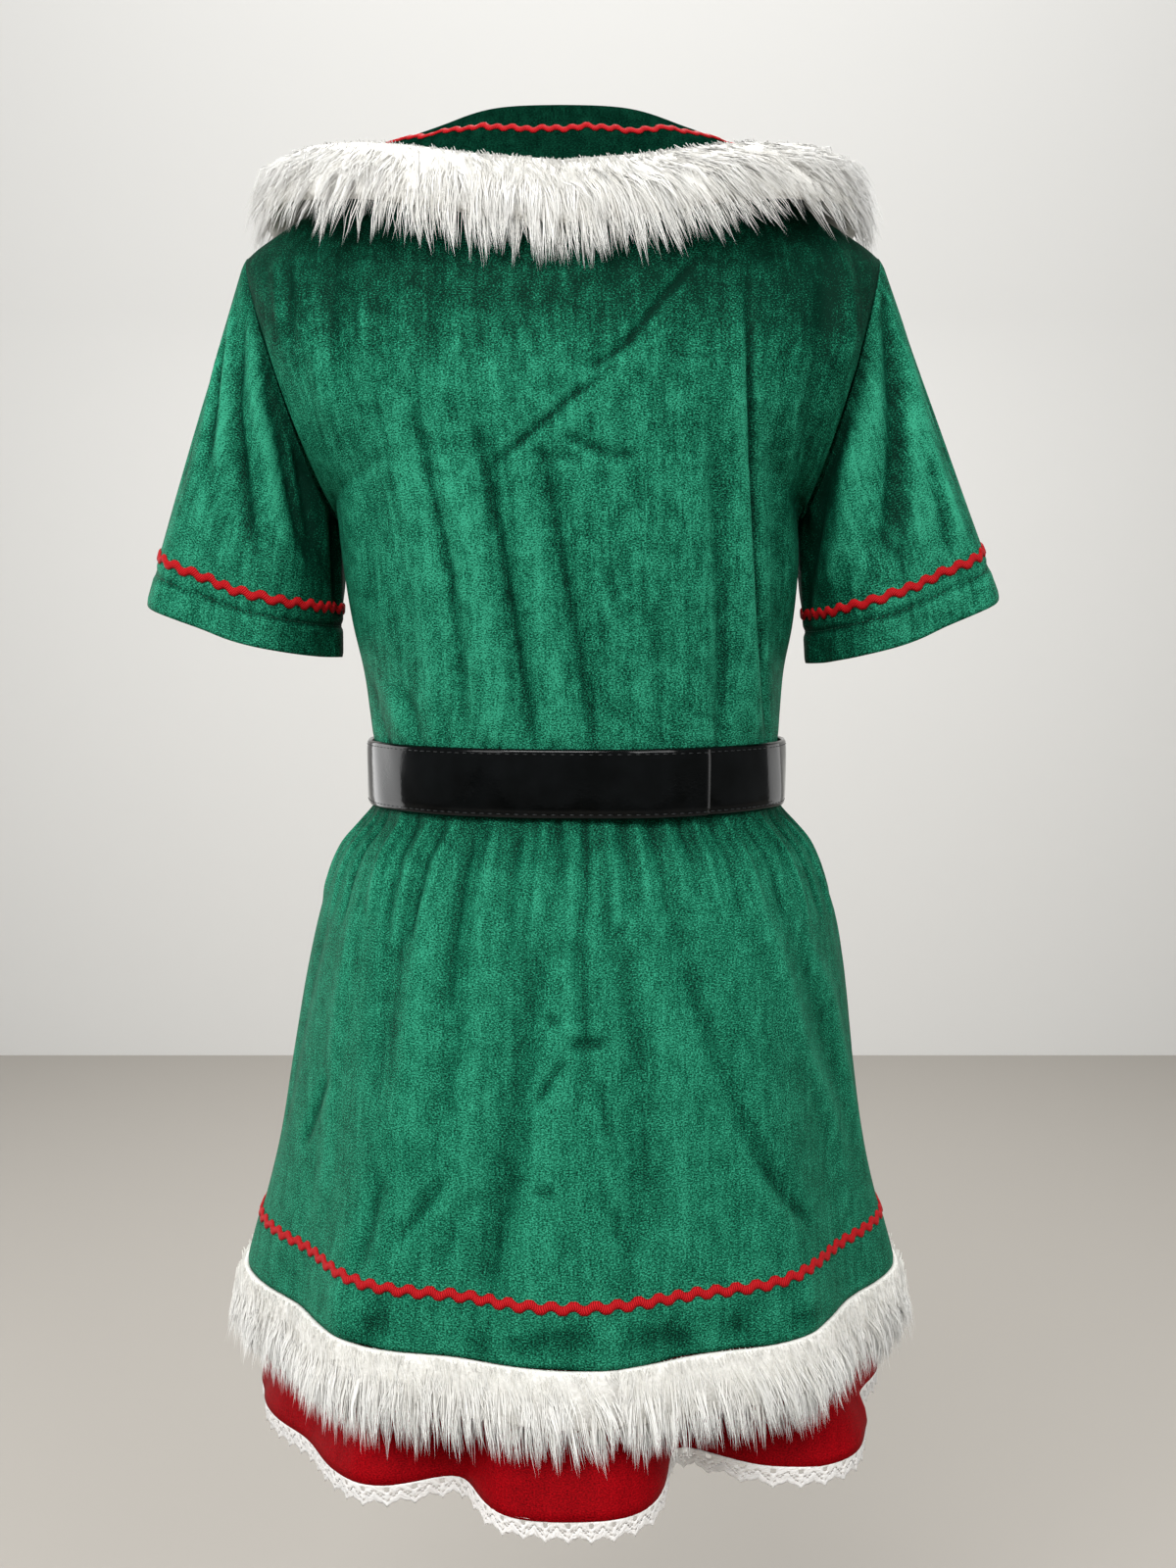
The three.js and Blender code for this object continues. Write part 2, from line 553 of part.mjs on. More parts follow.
// The fur under the green edge: two strips whose ends meet near the middle of the back and in front.
// drop is how far below the edge each corner of its section lies, and out how far out from the edge.
const HEM_FUR = { pitch: 180 / SKIRT_COLUMNS, backJoin: 97.5, frontJoin: 270 };
const HEM_FUR_SECTION = [
  { drop: SEAM, out: -2 },
  { drop: SEAM, out: 3 },
  { drop: 10, out: 10 },
  { drop: 26, out: 13 },
  { drop: 41, out: 9 },
  { drop: 46, out: 4 },
  { drop: 41, out: -2 },
  { drop: 16, out: -4 },
];
function hemFurPoint(degrees, round) {
  const sides = HEM_FUR_SECTION.length;
  const corner = HEM_FUR_SECTION[Math.round(round * sides) % sides];
  const p = skirtPoint(OVERSKIRT, OVERSKIRT_FOLDS, degrees, OVERSKIRT[0].height, corner.out);
  return p.setZ(p.z - corner.drop);
}
for (const [side, from, to] of [
  ["left", HEM_FUR.frontJoin - 360, HEM_FUR.backJoin],
  ["right", HEM_FUR.backJoin, HEM_FUR.frontJoin],
]) {
  const pointAt = (along, round) => hemFurPoint(lerp(from + FUR_END_GAP, to - FUR_END_GAP, along), round);
  const stations = Math.round((to - from) / HEM_FUR.pitch);
  const strip = rope({ stations, sides: HEM_FUR_SECTION.length, pointAt });
  piece(`fur_hem_${side}`, strip, WHITE, PLAIN);
}

// Lace edging under the red hem: one strip whose ends stop short of each other at the middle of the front.
const lacePoint = (round, share) => {
  const degrees = 270 + LACE.openDegrees / 2 + (360 - LACE.openDegrees) * round;
  const p = skirtPoint(UNDERSKIRT, UNDERSKIRT_FOLDS, degrees % 360, UNDERSKIRT[0].height, -SEAM);
  return p.setZ(p.z - SEAM - LACE.width * (1 - share));
};
const lace = wall({ columns: 2 * SKIRT_COLUMNS, levels: [0, 1], pointAt: lacePoint, depth: LACE.cloth });
piece("lace_hem", lace, WHITE, PLAIN);

// ---- Belt: one strap that laps over its own hidden end behind the wearer's right side -------------
const WAIST_SECTION = OVERSKIRT[OVERSKIRT.length - 1];
function beltPoint(round, share) {
  const column = Math.round(round * (BELT.columns + BELT.lapColumns)); // from the hidden end
  const turn = degToRad(BELT.lapStart + (360 / BELT.columns) * column);
  const depth = Math.sin(turn) >= 0 ? WAIST_SECTION.back : WAIST_SECTION.front;
  const climbed = smoothstep(column, BELT.columns - BELT.climbColumns, BELT.columns);
  const stand = BELT.ease + BELT.cloth + climbed * (BELT.cloth + SEAM);
  const outward = new THREE.Vector3(Math.cos(turn) / WAIST_SECTION.side, Math.sin(turn) / depth, 0).normalize();
  return new THREE.Vector3(WAIST_SECTION.side * Math.cos(turn), depth * Math.sin(turn), 0)
    .addScaledVector(outward, stand)
    .setZ(WAIST + (share - 1 / 2) * BELT.width);
}
const strap = wall({
  columns: BELT.columns + BELT.lapColumns,
  levels: [0, 1],
  pointAt: beltPoint,
  depth: BELT.cloth,
  seam: (normal) => normal.setZ(0),
});
piece("belt", strap, BLACK, GLOSSY);

export default dress;
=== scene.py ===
# %% [markdown]
# # An elf costume: velvet, long-pile fur, ric-rac, lace and patent vinyl
# The dress hangs in its worn shape with nobody in it. Every piece here is one that a maker would cut and
# sew: panels of velvet, a collar, strips of fur, braid, a lace edging and a belt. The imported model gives
# the frame that they are fitted to, and each visible piece stands for the solid of the same name. Lengths
# are worked out in millimetres, as a maker measures, and turned to metres when a mesh is made.

import math

import bmesh
import bpy
import numpy as np
from mathutils import Matrix, Vector


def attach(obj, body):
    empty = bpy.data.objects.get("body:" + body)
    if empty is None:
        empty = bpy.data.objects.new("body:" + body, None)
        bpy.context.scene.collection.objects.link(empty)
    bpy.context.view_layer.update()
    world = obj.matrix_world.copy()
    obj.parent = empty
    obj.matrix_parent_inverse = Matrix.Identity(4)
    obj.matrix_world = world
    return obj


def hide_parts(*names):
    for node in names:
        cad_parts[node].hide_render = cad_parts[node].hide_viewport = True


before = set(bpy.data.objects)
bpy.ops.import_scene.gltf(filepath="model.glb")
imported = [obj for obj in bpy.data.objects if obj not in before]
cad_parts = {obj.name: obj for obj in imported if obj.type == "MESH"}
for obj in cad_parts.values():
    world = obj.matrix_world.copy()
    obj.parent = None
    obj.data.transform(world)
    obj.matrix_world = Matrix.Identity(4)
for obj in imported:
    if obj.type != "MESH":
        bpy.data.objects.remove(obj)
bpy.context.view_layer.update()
MM = 0.001
print("packed solids:", len(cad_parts))

# %% [markdown]
# ## The camera
# The dress is looked at from behind, a little from above, from about a metre away. A camera that close
# with a 36 mm lens on a 36 mm sensor gives the hem its curve: the eye looks down on it, and nearly
# straight at the waist.

# %% Camera
scene = bpy.context.scene
camera = bpy.data.objects.new("camera", bpy.data.cameras.new("camera"))
scene.collection.objects.link(camera)
camera.data.lens = 36
camera.data.sensor_width = 36
camera.location = (-0.0106, 1.0, -0.3)
camera.rotation_euler = (math.radians(84.29), 0, math.radians(180))
scene.camera = camera
scene.view_settings.view_transform = "Standard"
print("camera at", tuple(round(v, 3) for v in camera.location))

# %% [markdown]
# ## Light
# Soft, even studio light suits velvet, whose pile shows its own bright and dark patches. A broad lamp
# above and behind the camera is the main light, two weaker ones stand by it, and one at each side fills
# the shadows without being mirrored. Two pale cards light nothing: they are only mirrored in the ends of
# the glossy belt. One lamp lights the front of the dress, one washes the wall, and a pale world does the
# rest.


# %% Lamps and the pale world
def lamp(name, place, aim, size, power, lights=True, mirrored=True):
    """A square area lamp, aimed at a point. It may light things without being mirrored, or the reverse."""
    made = bpy.data.objects.new(name, bpy.data.lights.new(name, "AREA"))
    scene.collection.objects.link(made)
    made.data.size = size
    made.data.energy = power
    made.location = place
    made.rotation_euler = (Vector(aim) - Vector(place)).to_track_quat("-Z", "Y").to_euler()
    made.visible_camera, made.visible_diffuse, made.visible_glossy = False, lights, mirrored


BELT_SPOT = (0, 0, -0.4)
lamp("key", (0.5, 1.9, 1.5), (0, 0, -0.35), 1.1, 60)
lamp("key_right", (-1.2, 1.9, 0.9), BELT_SPOT, 1.0, 22)
lamp("high_left", (1.3, 1.6, 0.7), BELT_SPOT, 1.0, 14)
lamp("side_left", (2.1, 0.1, -0.4), BELT_SPOT, 0.9, 13, mirrored=False)
lamp("side_right", (-2.1, 0.1, -0.4), BELT_SPOT, 1.2, 9, mirrored=False)
lamp("card_left", (2.3, -1.1, -0.4), BELT_SPOT, 2.0, 38, lights=False)
lamp("card_right", (-2.3, -1.6, -0.4), BELT_SPOT, 1.2, 5, lights=False)
lamp("front", (0, -1.7, 1.3), BELT_SPOT, 1.2, 34)
lamp("wall_wash", (0, -0.7, 3.0), (0, -2.6, 0.4), 2.4, 76)
world = bpy.data.worlds.new("pale_world")
scene.world = world
world.use_nodes = True
sky = world.node_tree.nodes["Background"]
sky.inputs["Color"].default_value = (0.86, 0.88, 0.88, 1)
sky.inputs["Strength"].default_value = 0.22
print("lamps:", len(bpy.data.lights))

# %% [markdown]
# ## Colour and material helpers
# Colours are written as the hex values that a screen shows, and one function turns them to the linear
# values that the renderer mixes. A second adds a node with its settings and links, and a few more do what
# every finish here needs, so that each material below reads as a list of what is done to it.


# %% Colour and nodes
def colour(hex_value):
    """The linear colour of an sRGB hex value."""
    parts = [int(hex_value[i : i + 2], 16) / 255 for i in (1, 3, 5)]
    return (*[p / 12.92 if p <= 0.04045 else ((p + 0.055) / 1.055) ** 2.4 for p in parts], 1)


def add(tree, kind, settings=None, links=None):
    """A new node. Settings set its properties or, by name or number, its inputs; links join its inputs."""
    made = tree.nodes.new("ShaderNode" + kind)
    for key, value in (settings or {}).items():
        if isinstance(key, str) and hasattr(made, key):
            setattr(made, key, value)
        else:
            made.inputs[key].default_value = value
    for key, source in (links or {}).items():
        tree.links.new(source, made.inputs[key])
    return made


def new_material(name, **surface):
    """A material, its tree and its Principled shader, whose constant values are set on its own sockets."""
    made = bpy.data.materials.new(name)
    made.use_nodes = True
    shader = made.node_tree.nodes["Principled BSDF"]
    for key, value in surface.items():
        shader.inputs[key.replace("_", " ").title().replace("Ior", "IOR")].default_value = value
    return made, made.node_tree, shader


def ramp(tree, factor, stops):
    """Colours spread along a factor from 0 to 1."""
    made = add(tree, "ValToRGB", links={"Fac": factor})
    band = made.color_ramp
    while len(band.elements) < len(stops):
        band.elements.new(0.5)
    for element, (at, hex_value) in zip(band.elements, stops):
        element.position = at
        element.color = colour(hex_value)
    return made.outputs["Color"]


print("white and black, linear:", colour("#ffffff")[0], colour("#000000")[0])


# %% What every finish needs
PER_MM = 1 / MM  # a pattern's scale where it repeats once in a millimetre


def flat_place(tree, layer="cloth"):
    """Where a spot lies on the piece's own flat measurements."""
    return add(tree, "UVMap", {"uv_map": layer}).outputs["UV"]


def noise(tree, place, scale, detail, roughness=0.5, distortion=0.0):
    """Cloudy noise, about a half on average, with scale clouds to a millimetre."""
    settings = {"Scale": scale * PER_MM, "Detail": detail, "Roughness": roughness, "Distortion": distortion}
    return add(tree, "TexNoise", settings, {"Vector": place}).outputs["Fac"]


def paint(tree, shader, factor, stops):
    """Spreads colours along a factor and gives them to the surface."""
    tree.links.new(ramp(tree, factor, stops), shader.inputs["Base Color"])


def roughen(tree, shader, factor, smoothest, roughest):
    """Lets a factor from 0 to 1 set how rough the surface is."""
    made = add(tree, "MapRange", {"To Min": smoothest, "To Max": roughest}, {"Value": factor})
    tree.links.new(made.outputs["Result"], shader.inputs["Roughness"])


def emboss(tree, shader, height, strength, distance, invert=False):
    """Raises the surface by up to a distance in mm where height is high, or where it is low when inverted."""
    settings = {"Strength": strength, "Distance": distance * MM, "invert": invert}
    made = add(tree, "Bump", settings, {"Height": height})
    tree.links.new(made.outputs["Normal"], shader.inputs["Normal"])


def plain_material(name, hex_value, roughness):
    """One even colour, for thread and for the stage."""
    made, _, shader = new_material(name, roughness=roughness)
    shader.inputs["Base Color"].default_value = colour(hex_value)
    return made


print("a pattern of 1 mm has the scale", PER_MM)

# %% [markdown]
# ## Stretch velvet
# Stretch velvet is a knit with a short cut pile of shiny fibres. Seen straight on, the pile swallows
# light; seen from the side it glows, which the shader's sheen gives. The pile never stands quite even:
# grains under a millimetre sparkle, a little wider than high because the courses of the knit draw them
# out, brushing leaves upright streaks, and handling crushes patches about a centimetre wide. A float
# attribute painted on each panel from its own creases darkens its colour: painted shade on the floor of
# a crease and on one side of each fold, with the pile crushed in crisp creases, so the colour follows them.


# %% Velvet
def weighed(tree, value, share, rest):
    """value times share, plus a number or another socket."""
    if isinstance(rest, float):
        return add(tree, "Math", {"operation": "MULTIPLY_ADD", 1: share, 2: rest}, {0: value}).outputs[0]
    return add(tree, "Math", {"operation": "MULTIPLY_ADD", 1: share}, {0: value, 2: rest}).outputs[0]


PATCH_SHARE, STREAK_SHARE, GRAIN_SHARE = 1.3, 0.86, 2.7  # how far each pattern moves the colour


def velvet(name, dark, middle, light, glow, sheen, grains=1.0, mottle=1.0, shine=0.03):
    """Velvet in three depths of pile. glow is its sheen's tint; grains and mottle weaken its patterns."""
    made, tree, shader = new_material(name, sheen_weight=sheen, sheen_roughness=0.3)
    shader.inputs["Sheen Tint"].default_value = colour(glow)
    shader.inputs["Specular IOR Level"].default_value = shine
    cloth = flat_place(tree)
    wide = add(tree, "Mapping", {"Scale": (0.7, 1, 1)}, {"Vector": cloth}).outputs["Vector"]
    upright = add(tree, "Mapping", {"Scale": (1, 0.12, 1)}, {"Vector": cloth}).outputs["Vector"]
    grain = noise(tree, wide, 1.25, 1.0, 0.6)
    streak = noise(tree, upright, 0.22, 3.0, 0.6)
    patch = noise(tree, cloth, 0.085, 7.0, 0.72, 0.4)
    shares = [
        (patch, PATCH_SHARE * grains * mottle),
        (streak, STREAK_SHARE * grains * mottle),
        (grain, GRAIN_SHARE * grains),
    ]
    uneven = 0.5 - sum(share for _, share in shares) / 2  # each noise is about a half on average
    for pattern, share in shares:
        uneven = weighed(tree, pattern, share, uneven)
    # painted shade of creases and folds, with crushed pile, darkens the colour
    painted_shade_and_crush = add(tree, "Attribute", {"attribute_name": "painted_shade_and_crush"}).outputs["Fac"]
    depth = add(tree, "Math", {"operation": "SUBTRACT"}, {0: uneven, 1: painted_shade_and_crush}).outputs[0]
    paint(tree, shader, depth, [(0.0, dark), (0.5, middle), (1.0, light)])
    roughen(tree, shader, grain, 0.45, 0.75)
    emboss(tree, shader, weighed(tree, patch, 2.0, grain), 0.8, 0.5)
    return made


# Colours of the pile's depth, its middle, its tips and its sheen
GREENS = ("#03251a", "#136047", "#369a79", "#2fa67c")
# the greens made much darker for the collar: painted shade where its down-turned pile faces away from the
# light
GREENS_NAP_DOWN_SHADED = ("#01100a", "#042016", "#0a3526", "#0b3a29")
REDS = ("#4c0003", "#84020a", "#a80711", "#e02020")
green_velvet = velvet("green_stretch_velvet", *GREENS, 0.03)
skirt_velvet = velvet("green_velvet_hanging", *GREENS, 0.03, 0.92, mottle=0.72)
# the collar's velvet, darkened by painted shade
shaded_collar_velvet = velvet("green_velvet_nap_down_shaded", *GREENS_NAP_DOWN_SHADED, 0.0, shine=0.0)
red_velvet = velvet("red_stretch_velvet", *REDS, 0.02, 0.6, mottle=0.6)
print("velvets:", [m.name for m in (green_velvet, skirt_velvet, shaded_collar_velvet, red_velvet)])

# %% [markdown]
# ## Ric-rac braid
# Ric-rac is a flat polyester braid woven so that it waves. Its threads run slantwise across it, about a
# millimetre apart, so a wave pattern on the braid's own flat coordinates raises them.

# %% Ric-rac material
ricrac_red, tree, shader = new_material("polyester_ricrac", roughness=0.6)
shader.inputs["Specular IOR Level"].default_value = 0.1
slanted = add(tree, "Mapping", {"Rotation": (0, 0, math.radians(38))}, {"Vector": flat_place(tree)})
yarn = {"Scale": 0.3 * PER_MM, "Distortion": 0.6, "Detail": 1.0}
threads = add(tree, "TexWave", yarn, {"Vector": slanted.outputs["Vector"]}).outputs["Fac"]
paint(tree, shader, threads, [(0.0, "#7d050a"), (0.55, "#ab0b13"), (1.0, "#c41a20")])
emboss(tree, shader, threads, 0.7, 0.3)
print("braid material:", ricrac_red.name)

# %% [markdown]
# ## Acrylic fur
# The long pile is fine acrylic fibre, white and slightly silky. Each modelled strand carries, in its own
# flat coordinates, a random shade across and its place from root to tip along it: roots lie in shadow and
# tips catch the light.

# %% Fur material
MIX_A, MIX_B, MIX_OUT = 6, 7, 2  # the sockets of a Mix node that hold colours
acrylic_fur, tree, shader = new_material("acrylic_fur", roughness=0.5, sheen_weight=0.3, sheen_roughness=0.3)
strand = add(tree, "SeparateXYZ", links={"Vector": flat_place(tree, "strand")})
along = ramp(tree, strand.outputs["Y"], [(0.0, "#e6e4df"), (0.35, "#f1f0ed"), (1.0, "#f8f8f6")])
shade = ramp(tree, strand.outputs["X"], [(0.0, "#e4e2dc"), (0.5, "#f4f3f0"), (1.0, "#fcfcfa")])
product = {"data_type": "RGBA", "blend_type": "MULTIPLY", "Factor": 1.0}
tone = add(tree, "Mix", product, {MIX_A: along, MIX_B: shade})
tree.links.new(tone.outputs[MIX_OUT], shader.inputs["Base Color"])

fur_backing, tree, shader = new_material("fur_ground", roughness=0.9)
tufts = noise(tree, add(tree, "TexCoord").outputs["Object"], 0.5, 4.0)
paint(tree, shader, tufts, [(0.3, "#d6d4cd"), (0.7, "#ebe9e4")])
emboss(tree, shader, tufts, 1.0, 0.8)
print("fur materials:", acrylic_fur.name, fur_backing.name)

# %% [markdown]
# ## Cotton lace
# The edging is a white cotton lace with a raised, knotted face. The holes and points are cut in the mesh,
# and fine cells about a millimetre wide give the knots between them.

# %% Lace material
cotton_lace, tree, shader = new_material("cotton_lace", roughness=0.85, sheen_weight=0.2)
cells = {"Scale": 0.75 * PER_MM, "feature": "SMOOTH_F1"}
knots = add(tree, "TexVoronoi", cells, {"Vector": flat_place(tree)}).outputs["Distance"]
paint(tree, shader, knots, [(0.0, "#ffffff"), (0.5, "#f2efeb"), (0.9, "#d6d1cb")])
emboss(tree, shader, knots, 0.9, 0.5, invert=True)
print("lace material:", cotton_lace.name)

# %% [markdown]
# ## Patent vinyl
# Patent vinyl is a black PVC film on cloth, glossy as glass. It is nearly a mirror for whatever is bright
# round it, and what shows that it is soft is how its reflections wander, so its gentle waves are in the
# mesh and a faint orange peel is in the bump.

# %% Vinyl and thread
patent_vinyl, tree, shader = new_material("patent_vinyl", ior=1.5)
shader.inputs["Specular IOR Level"].default_value = 0.27
film = flat_place(tree)
cloudy = noise(tree, film, 0.05, 3.0)
paint(tree, shader, cloudy, [(0.35, "#010202"), (0.7, "#07090a")])
roughen(tree, shader, cloudy, 0.05, 0.16)
emboss(tree, shader, noise(tree, film, 0.35, 2.0), 0.12, 0.3)

black_thread = plain_material("black_thread", "#1b1e20", 0.5)
green_thread = plain_material("green_thread", "#0b3f2c", 0.6)
print("vinyl and threads ready")

# %% [markdown]
# ## The stage
# A pale floor and a plain wall far behind, both in matt paint, so that nothing draws the eye.

# %% Floor and wall
wall_paint = plain_material("matt_wall_paint", "#dfdedb", 0.95)
floor_paint = plain_material("matt_floor_paint", "#a39e97", 0.95)


def stage_sheet(name, size, place, turn, finish):
    """A flat square of the stage."""
    made = bmesh.new()
    bmesh.ops.create_grid(made, x_segments=1, y_segments=1, size=size)
    bmesh.ops.rotate(made, verts=made.verts, matrix=Matrix(turn))
    bmesh.ops.translate(made, verts=made.verts, vec=place)
    mesh = bpy.data.meshes.new(name)
    made.to_mesh(mesh)
    made.free()
    mesh.materials.append(finish)
    stood = bpy.data.objects.new(name, mesh)
    scene.collection.objects.link(stood)


FLOOR = -1.3
stage_sheet("floor", 6, (0, 0, FLOOR), ((1, 0, 0), (0, 1, 0), (0, 0, 1)), floor_paint)
stage_sheet("wall", 6, (0, -2.6, FLOOR + 6), ((1, 0, 0), (0, 0, -1), (0, 1, 0)), wall_paint)
print("floor at", FLOOR)

# %% [markdown]
# ## Shapes from tables
# A worn dress has no plain outline, so its sizes are kept in tables, as a maker keeps measurements: a
# height and what is measured there. One function reads a column of a table smoothly at any height. These
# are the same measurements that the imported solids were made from, so the velvet lies where they are.


# %% Reading a table
def read(rows, column, at):
    """A column of a table, read smoothly at places along its first column."""
    places = np.array([row[0] for row in rows], float)
    values = np.array([row[column] for row in rows], float)
    slopes = np.empty_like(values)
    slopes[1:-1] = (values[2:] - values[:-2]) / (places[2:] - places[:-2])
    slopes[[0, -1]] = (values[[1, -1]] - values[[0, -2]]) / (places[[1, -1]] - places[[0, -2]])
    at = np.clip(at, places[0], places[-1])
    i = np.clip(np.searchsorted(places, at, side="right") - 1, 0, len(places) - 2)
    span = places[i + 1] - places[i]
    t = (at - places[i]) / span
    ends = values[i] * (2 * t**3 - 3 * t**2 + 1) + values[i + 1] * (3 * t**2 - 2 * t**3)
    return ends + span * (slopes[i] * (t**3 - 2 * t**2 + t) + slopes[i + 1] * (t**3 - t**2))


def mix(a, b, share):
    """A share of the way from a to b."""
    return a + (b - a) * share


def smooth(value, low, high):
    """0 below low, 1 above high, and a smooth step between."""
    t = np.clip((value - low) / (high - low), 0, 1)
    return t * t * (3 - 2 * t)


def bump(distance, width):
    """A soft hump: 1 at no distance, and nearly 0 two widths away."""
    return np.exp(-((distance / width) ** 2))


def unit(vectors):
    """Vectors made 1 long."""
    return vectors / np.maximum(np.linalg.norm(vectors, axis=-1, keepdims=True), 1e-12)


WAIST = -390.5
SEAM_GAP = 0.3  # mm between two solids that are sewn together
# How the dress hangs off plumb: height, and mm towards the wearer's left
LEAN = [(-800, 0), (-640, 0), (WAIST, -3.5), (-200, 2), (-60, 5), (20, 5)]
print("the waist hangs", -float(read(LEAN, 1, WAIST)), "mm towards the wearer's right")

# %% [markdown]
# ## Laying cloth
# A piece of cloth starts flat: bmesh's create_grid makes a square grid, whose corners are then laid where
# the worn cloth lies. A face is a function that gives the place of the cloth at a share of the way across
# and up. The grid keeps its flat measurements as a UV map in metres, so a pattern is as large as it is on
# a real bolt. Solidify gives the cloth its thickness inwards.


# %% Laying a face
def facing(face, across, up):
    """Which way the cloth faces, square to it."""
    step = 2e-4
    level = face(across + step, up) - face(across - step, up)
    rise = face(across, np.minimum(up + step, 1)) - face(across, np.maximum(up - step, 0))
    return unit(np.cross(level, rise))


def unrolled(places, columns, rows):
    """The flat measurements of a laid grid in mm: along its rows from the middle, and up its columns."""
    grid = places.reshape(rows + 1, columns + 1, 3)
    along = np.zeros(grid.shape[:2])
    along[:, 1:] = np.cumsum(np.linalg.norm(np.diff(grid, axis=1), axis=-1), axis=1)
    upward = np.zeros(grid.shape[:2])
    upward[1:] = np.cumsum(np.linalg.norm(np.diff(grid, axis=0), axis=-1), axis=0)
    return np.stack([along - along[:, [columns // 2]], upward], -1).reshape(-1, 2)


def finished(name, made, material, thickness):
    """A piece's object at the origin from its bmesh, smooth, with its material and thickness."""
    mesh = bpy.data.meshes.new(name)
    made.to_mesh(mesh)
    made.free()
    mesh.shade_smooth()
    mesh.materials.append(material)
    piece = bpy.data.objects.new(name, mesh)
    scene.collection.objects.link(piece)
    walls = piece.modifiers.new("thickness", "SOLIDIFY")
    walls.thickness = thickness * MM
    walls.offset = -1
    walls.use_even_offset = False
    return piece


# how much depth, bend and slope darken the colour: painted shade in troughs and on one side of each fold,
# with crushed pile
SHADE_AND_CRUSH_BY_DEPTH, SHADE_AND_CRUSH_BY_BEND, SHADE_BY_SLOPE = 0.035, 1.2, 0.2


def shaded_and_crushed(lifts, wide, high):
    """Painted shade and crushed pile on a grid of pushes: most in crisp troughs, least on ridges, more on one
    side of a fold.
    """
    rise, run = np.gradient(lifts, high, wide)
    bend = np.gradient(run, wide, axis=1) + np.gradient(rise, high, axis=0)
    deep = SHADE_AND_CRUSH_BY_DEPTH * np.clip(-lifts, -2, 4)
    return deep + SHADE_AND_CRUSH_BY_BEND * np.clip(bend, -0.07, 0.35) + SHADE_BY_SLOPE * np.clip(run, -0.4, 0.4)


def lay(name, columns, rows, face, material, thickness, closed=False, push=None, tone=None):
    """Lays a flat grid on a face. push, its creases, and tone, listed, paint shade into its colour and crush
    its pile.
    """
    made = bmesh.new()
    bmesh.ops.create_grid(made, x_segments=columns, y_segments=rows, size=1)
    made.verts.ensure_lookup_table()
    across, up = (np.array([vert.co[:2] for vert in made.verts]).T + 1) / 2
    order = np.lexsort((np.rint(across * columns), np.rint(up * rows)))
    places = face(across, up)
    flat = np.empty((len(places), 2))
    flat[order] = unrolled(places[order], columns, rows)
    width, height = np.ptp(flat, axis=0)
    shades = np.zeros(len(places))
    # the creases paint shade into the colour and crush the pile
    if push:
        lifts = push(across, up)[order].reshape(rows + 1, columns + 1)
        shades[order] = shaded_and_crushed(lifts, width / columns, height / rows).reshape(-1)
    if tone:
        shades += tone(across, up, places)
    cloth = made.loops.layers.uv.new("cloth")
    shade_and_crush_layer = made.verts.layers.float.new("painted_shade_and_crush")
    for vert, place, shade in zip(made.verts, places * MM, shades):
        vert.co = place
        vert[shade_and_crush_layer] = shade
    for square in made.faces:
        for loop in square.loops:
            loop[cloth].uv = flat[loop.vert.index] * MM
    if closed:
        bmesh.ops.remove_doubles(made, verts=made.verts, dist=1e-6)
    made.normal_update()
    area = sum(square.calc_area() for square in made.faces)
    print(f"{name}: {len(made.faces)} faces, {width:.0f} x {height:.0f} mm flat, {area * 1e4:.0f} cm2")
    return finished(name, made, material, thickness)


VELVET_THICKNESS = 1.5
print("velvet is", VELVET_THICKNESS, "mm thick")

# %% [markdown]
# ## Creases
# What makes cloth look worn is its creases, and no two are alike: long soft folds that hang from where
# the cloth is held, crisp pressed lines, and small tucks. They are listed one by one. Each crease is a path
# on the cloth with a depth in mm (less than nothing is a trough, more is a ridge), a width, and a skew
# that makes one side of it steeper. A crease fades at both ends, so one that should run into a seam is
# drawn past it. Where cloth is troughed, the same paths paint shade into its colour, and its pile is
# crushed there too.


# %% Creases
FADE = 0.25  # share of a crease's length over which it fades at each end
REACH = 4  # widths from its path at which a crease is no longer worked out


def to_path(spots, path):
    """For each spot, its distance to the right of a path in mm, and its share of the way along the path."""
    start, step = path[:-1], np.diff(path, axis=0)
    length = np.linalg.norm(step, axis=-1)
    from_start = spots[:, None] - start
    share = np.clip((from_start * step).sum(-1) / length**2, 0, 1)
    apart = from_start - share[..., None] * step
    distance = np.linalg.norm(apart, axis=-1)
    nearest = distance.argmin(1)
    pick = (np.arange(len(spots)), nearest)
    turn = step[nearest, 0] * apart[pick][:, 1] - step[nearest, 1] * apart[pick][:, 0]
    along = (np.cumsum(length) - length)[nearest] + share[pick] * length[nearest]
    return np.copysign(distance[pick], -turn), along / length.sum()


def pushed(spots, creases, wraps=0.0):
    """How far creases push each spot outwards, in mm. wraps is how far round the cloth meets itself."""
    total = np.zeros(len(spots))
    for depth, width, skew, path in creases:
        for shift in (-wraps, 0.0, wraps) if wraps else (0.0,):
            moved = np.array(path, float) + (shift, 0)
            low, high = moved.min(0) - REACH * width, moved.max(0) + REACH * width
            near = np.flatnonzero(((spots > low) & (spots < high)).all(1))
            if len(near):
                distance, along = to_path(spots[near], moved)
                fades = smooth(along, 0, FADE) * smooth(1 - along, 0, FADE)
                total[near] += depth * fades * bump(distance, width) * (1 + skew * distance / width)
    return total


def creased(face, push):
    """The same face with its creases pushed into it."""

    def folded(across, up):
        return face(across, up) + facing(face, across, up) * push(across, up)[..., None]

    return folded


sample = [(-3.0, 5.0, 0.0, [(0, 0), (0, -100)])]
print("a trough 3 mm deep, at its middle:", pushed(np.array([[0.0, -50.0]]), sample).tolist())

# %% [markdown]
# ## The bodice
# The bodice is a back and a front panel, sewn at the shoulders and sides. On the worn body it rounds over
# the shoulders, falls from the shoulder blades, and draws in to the belt. The armhole sits off the
# shoulder, so the sleeve starts on the upper arm.

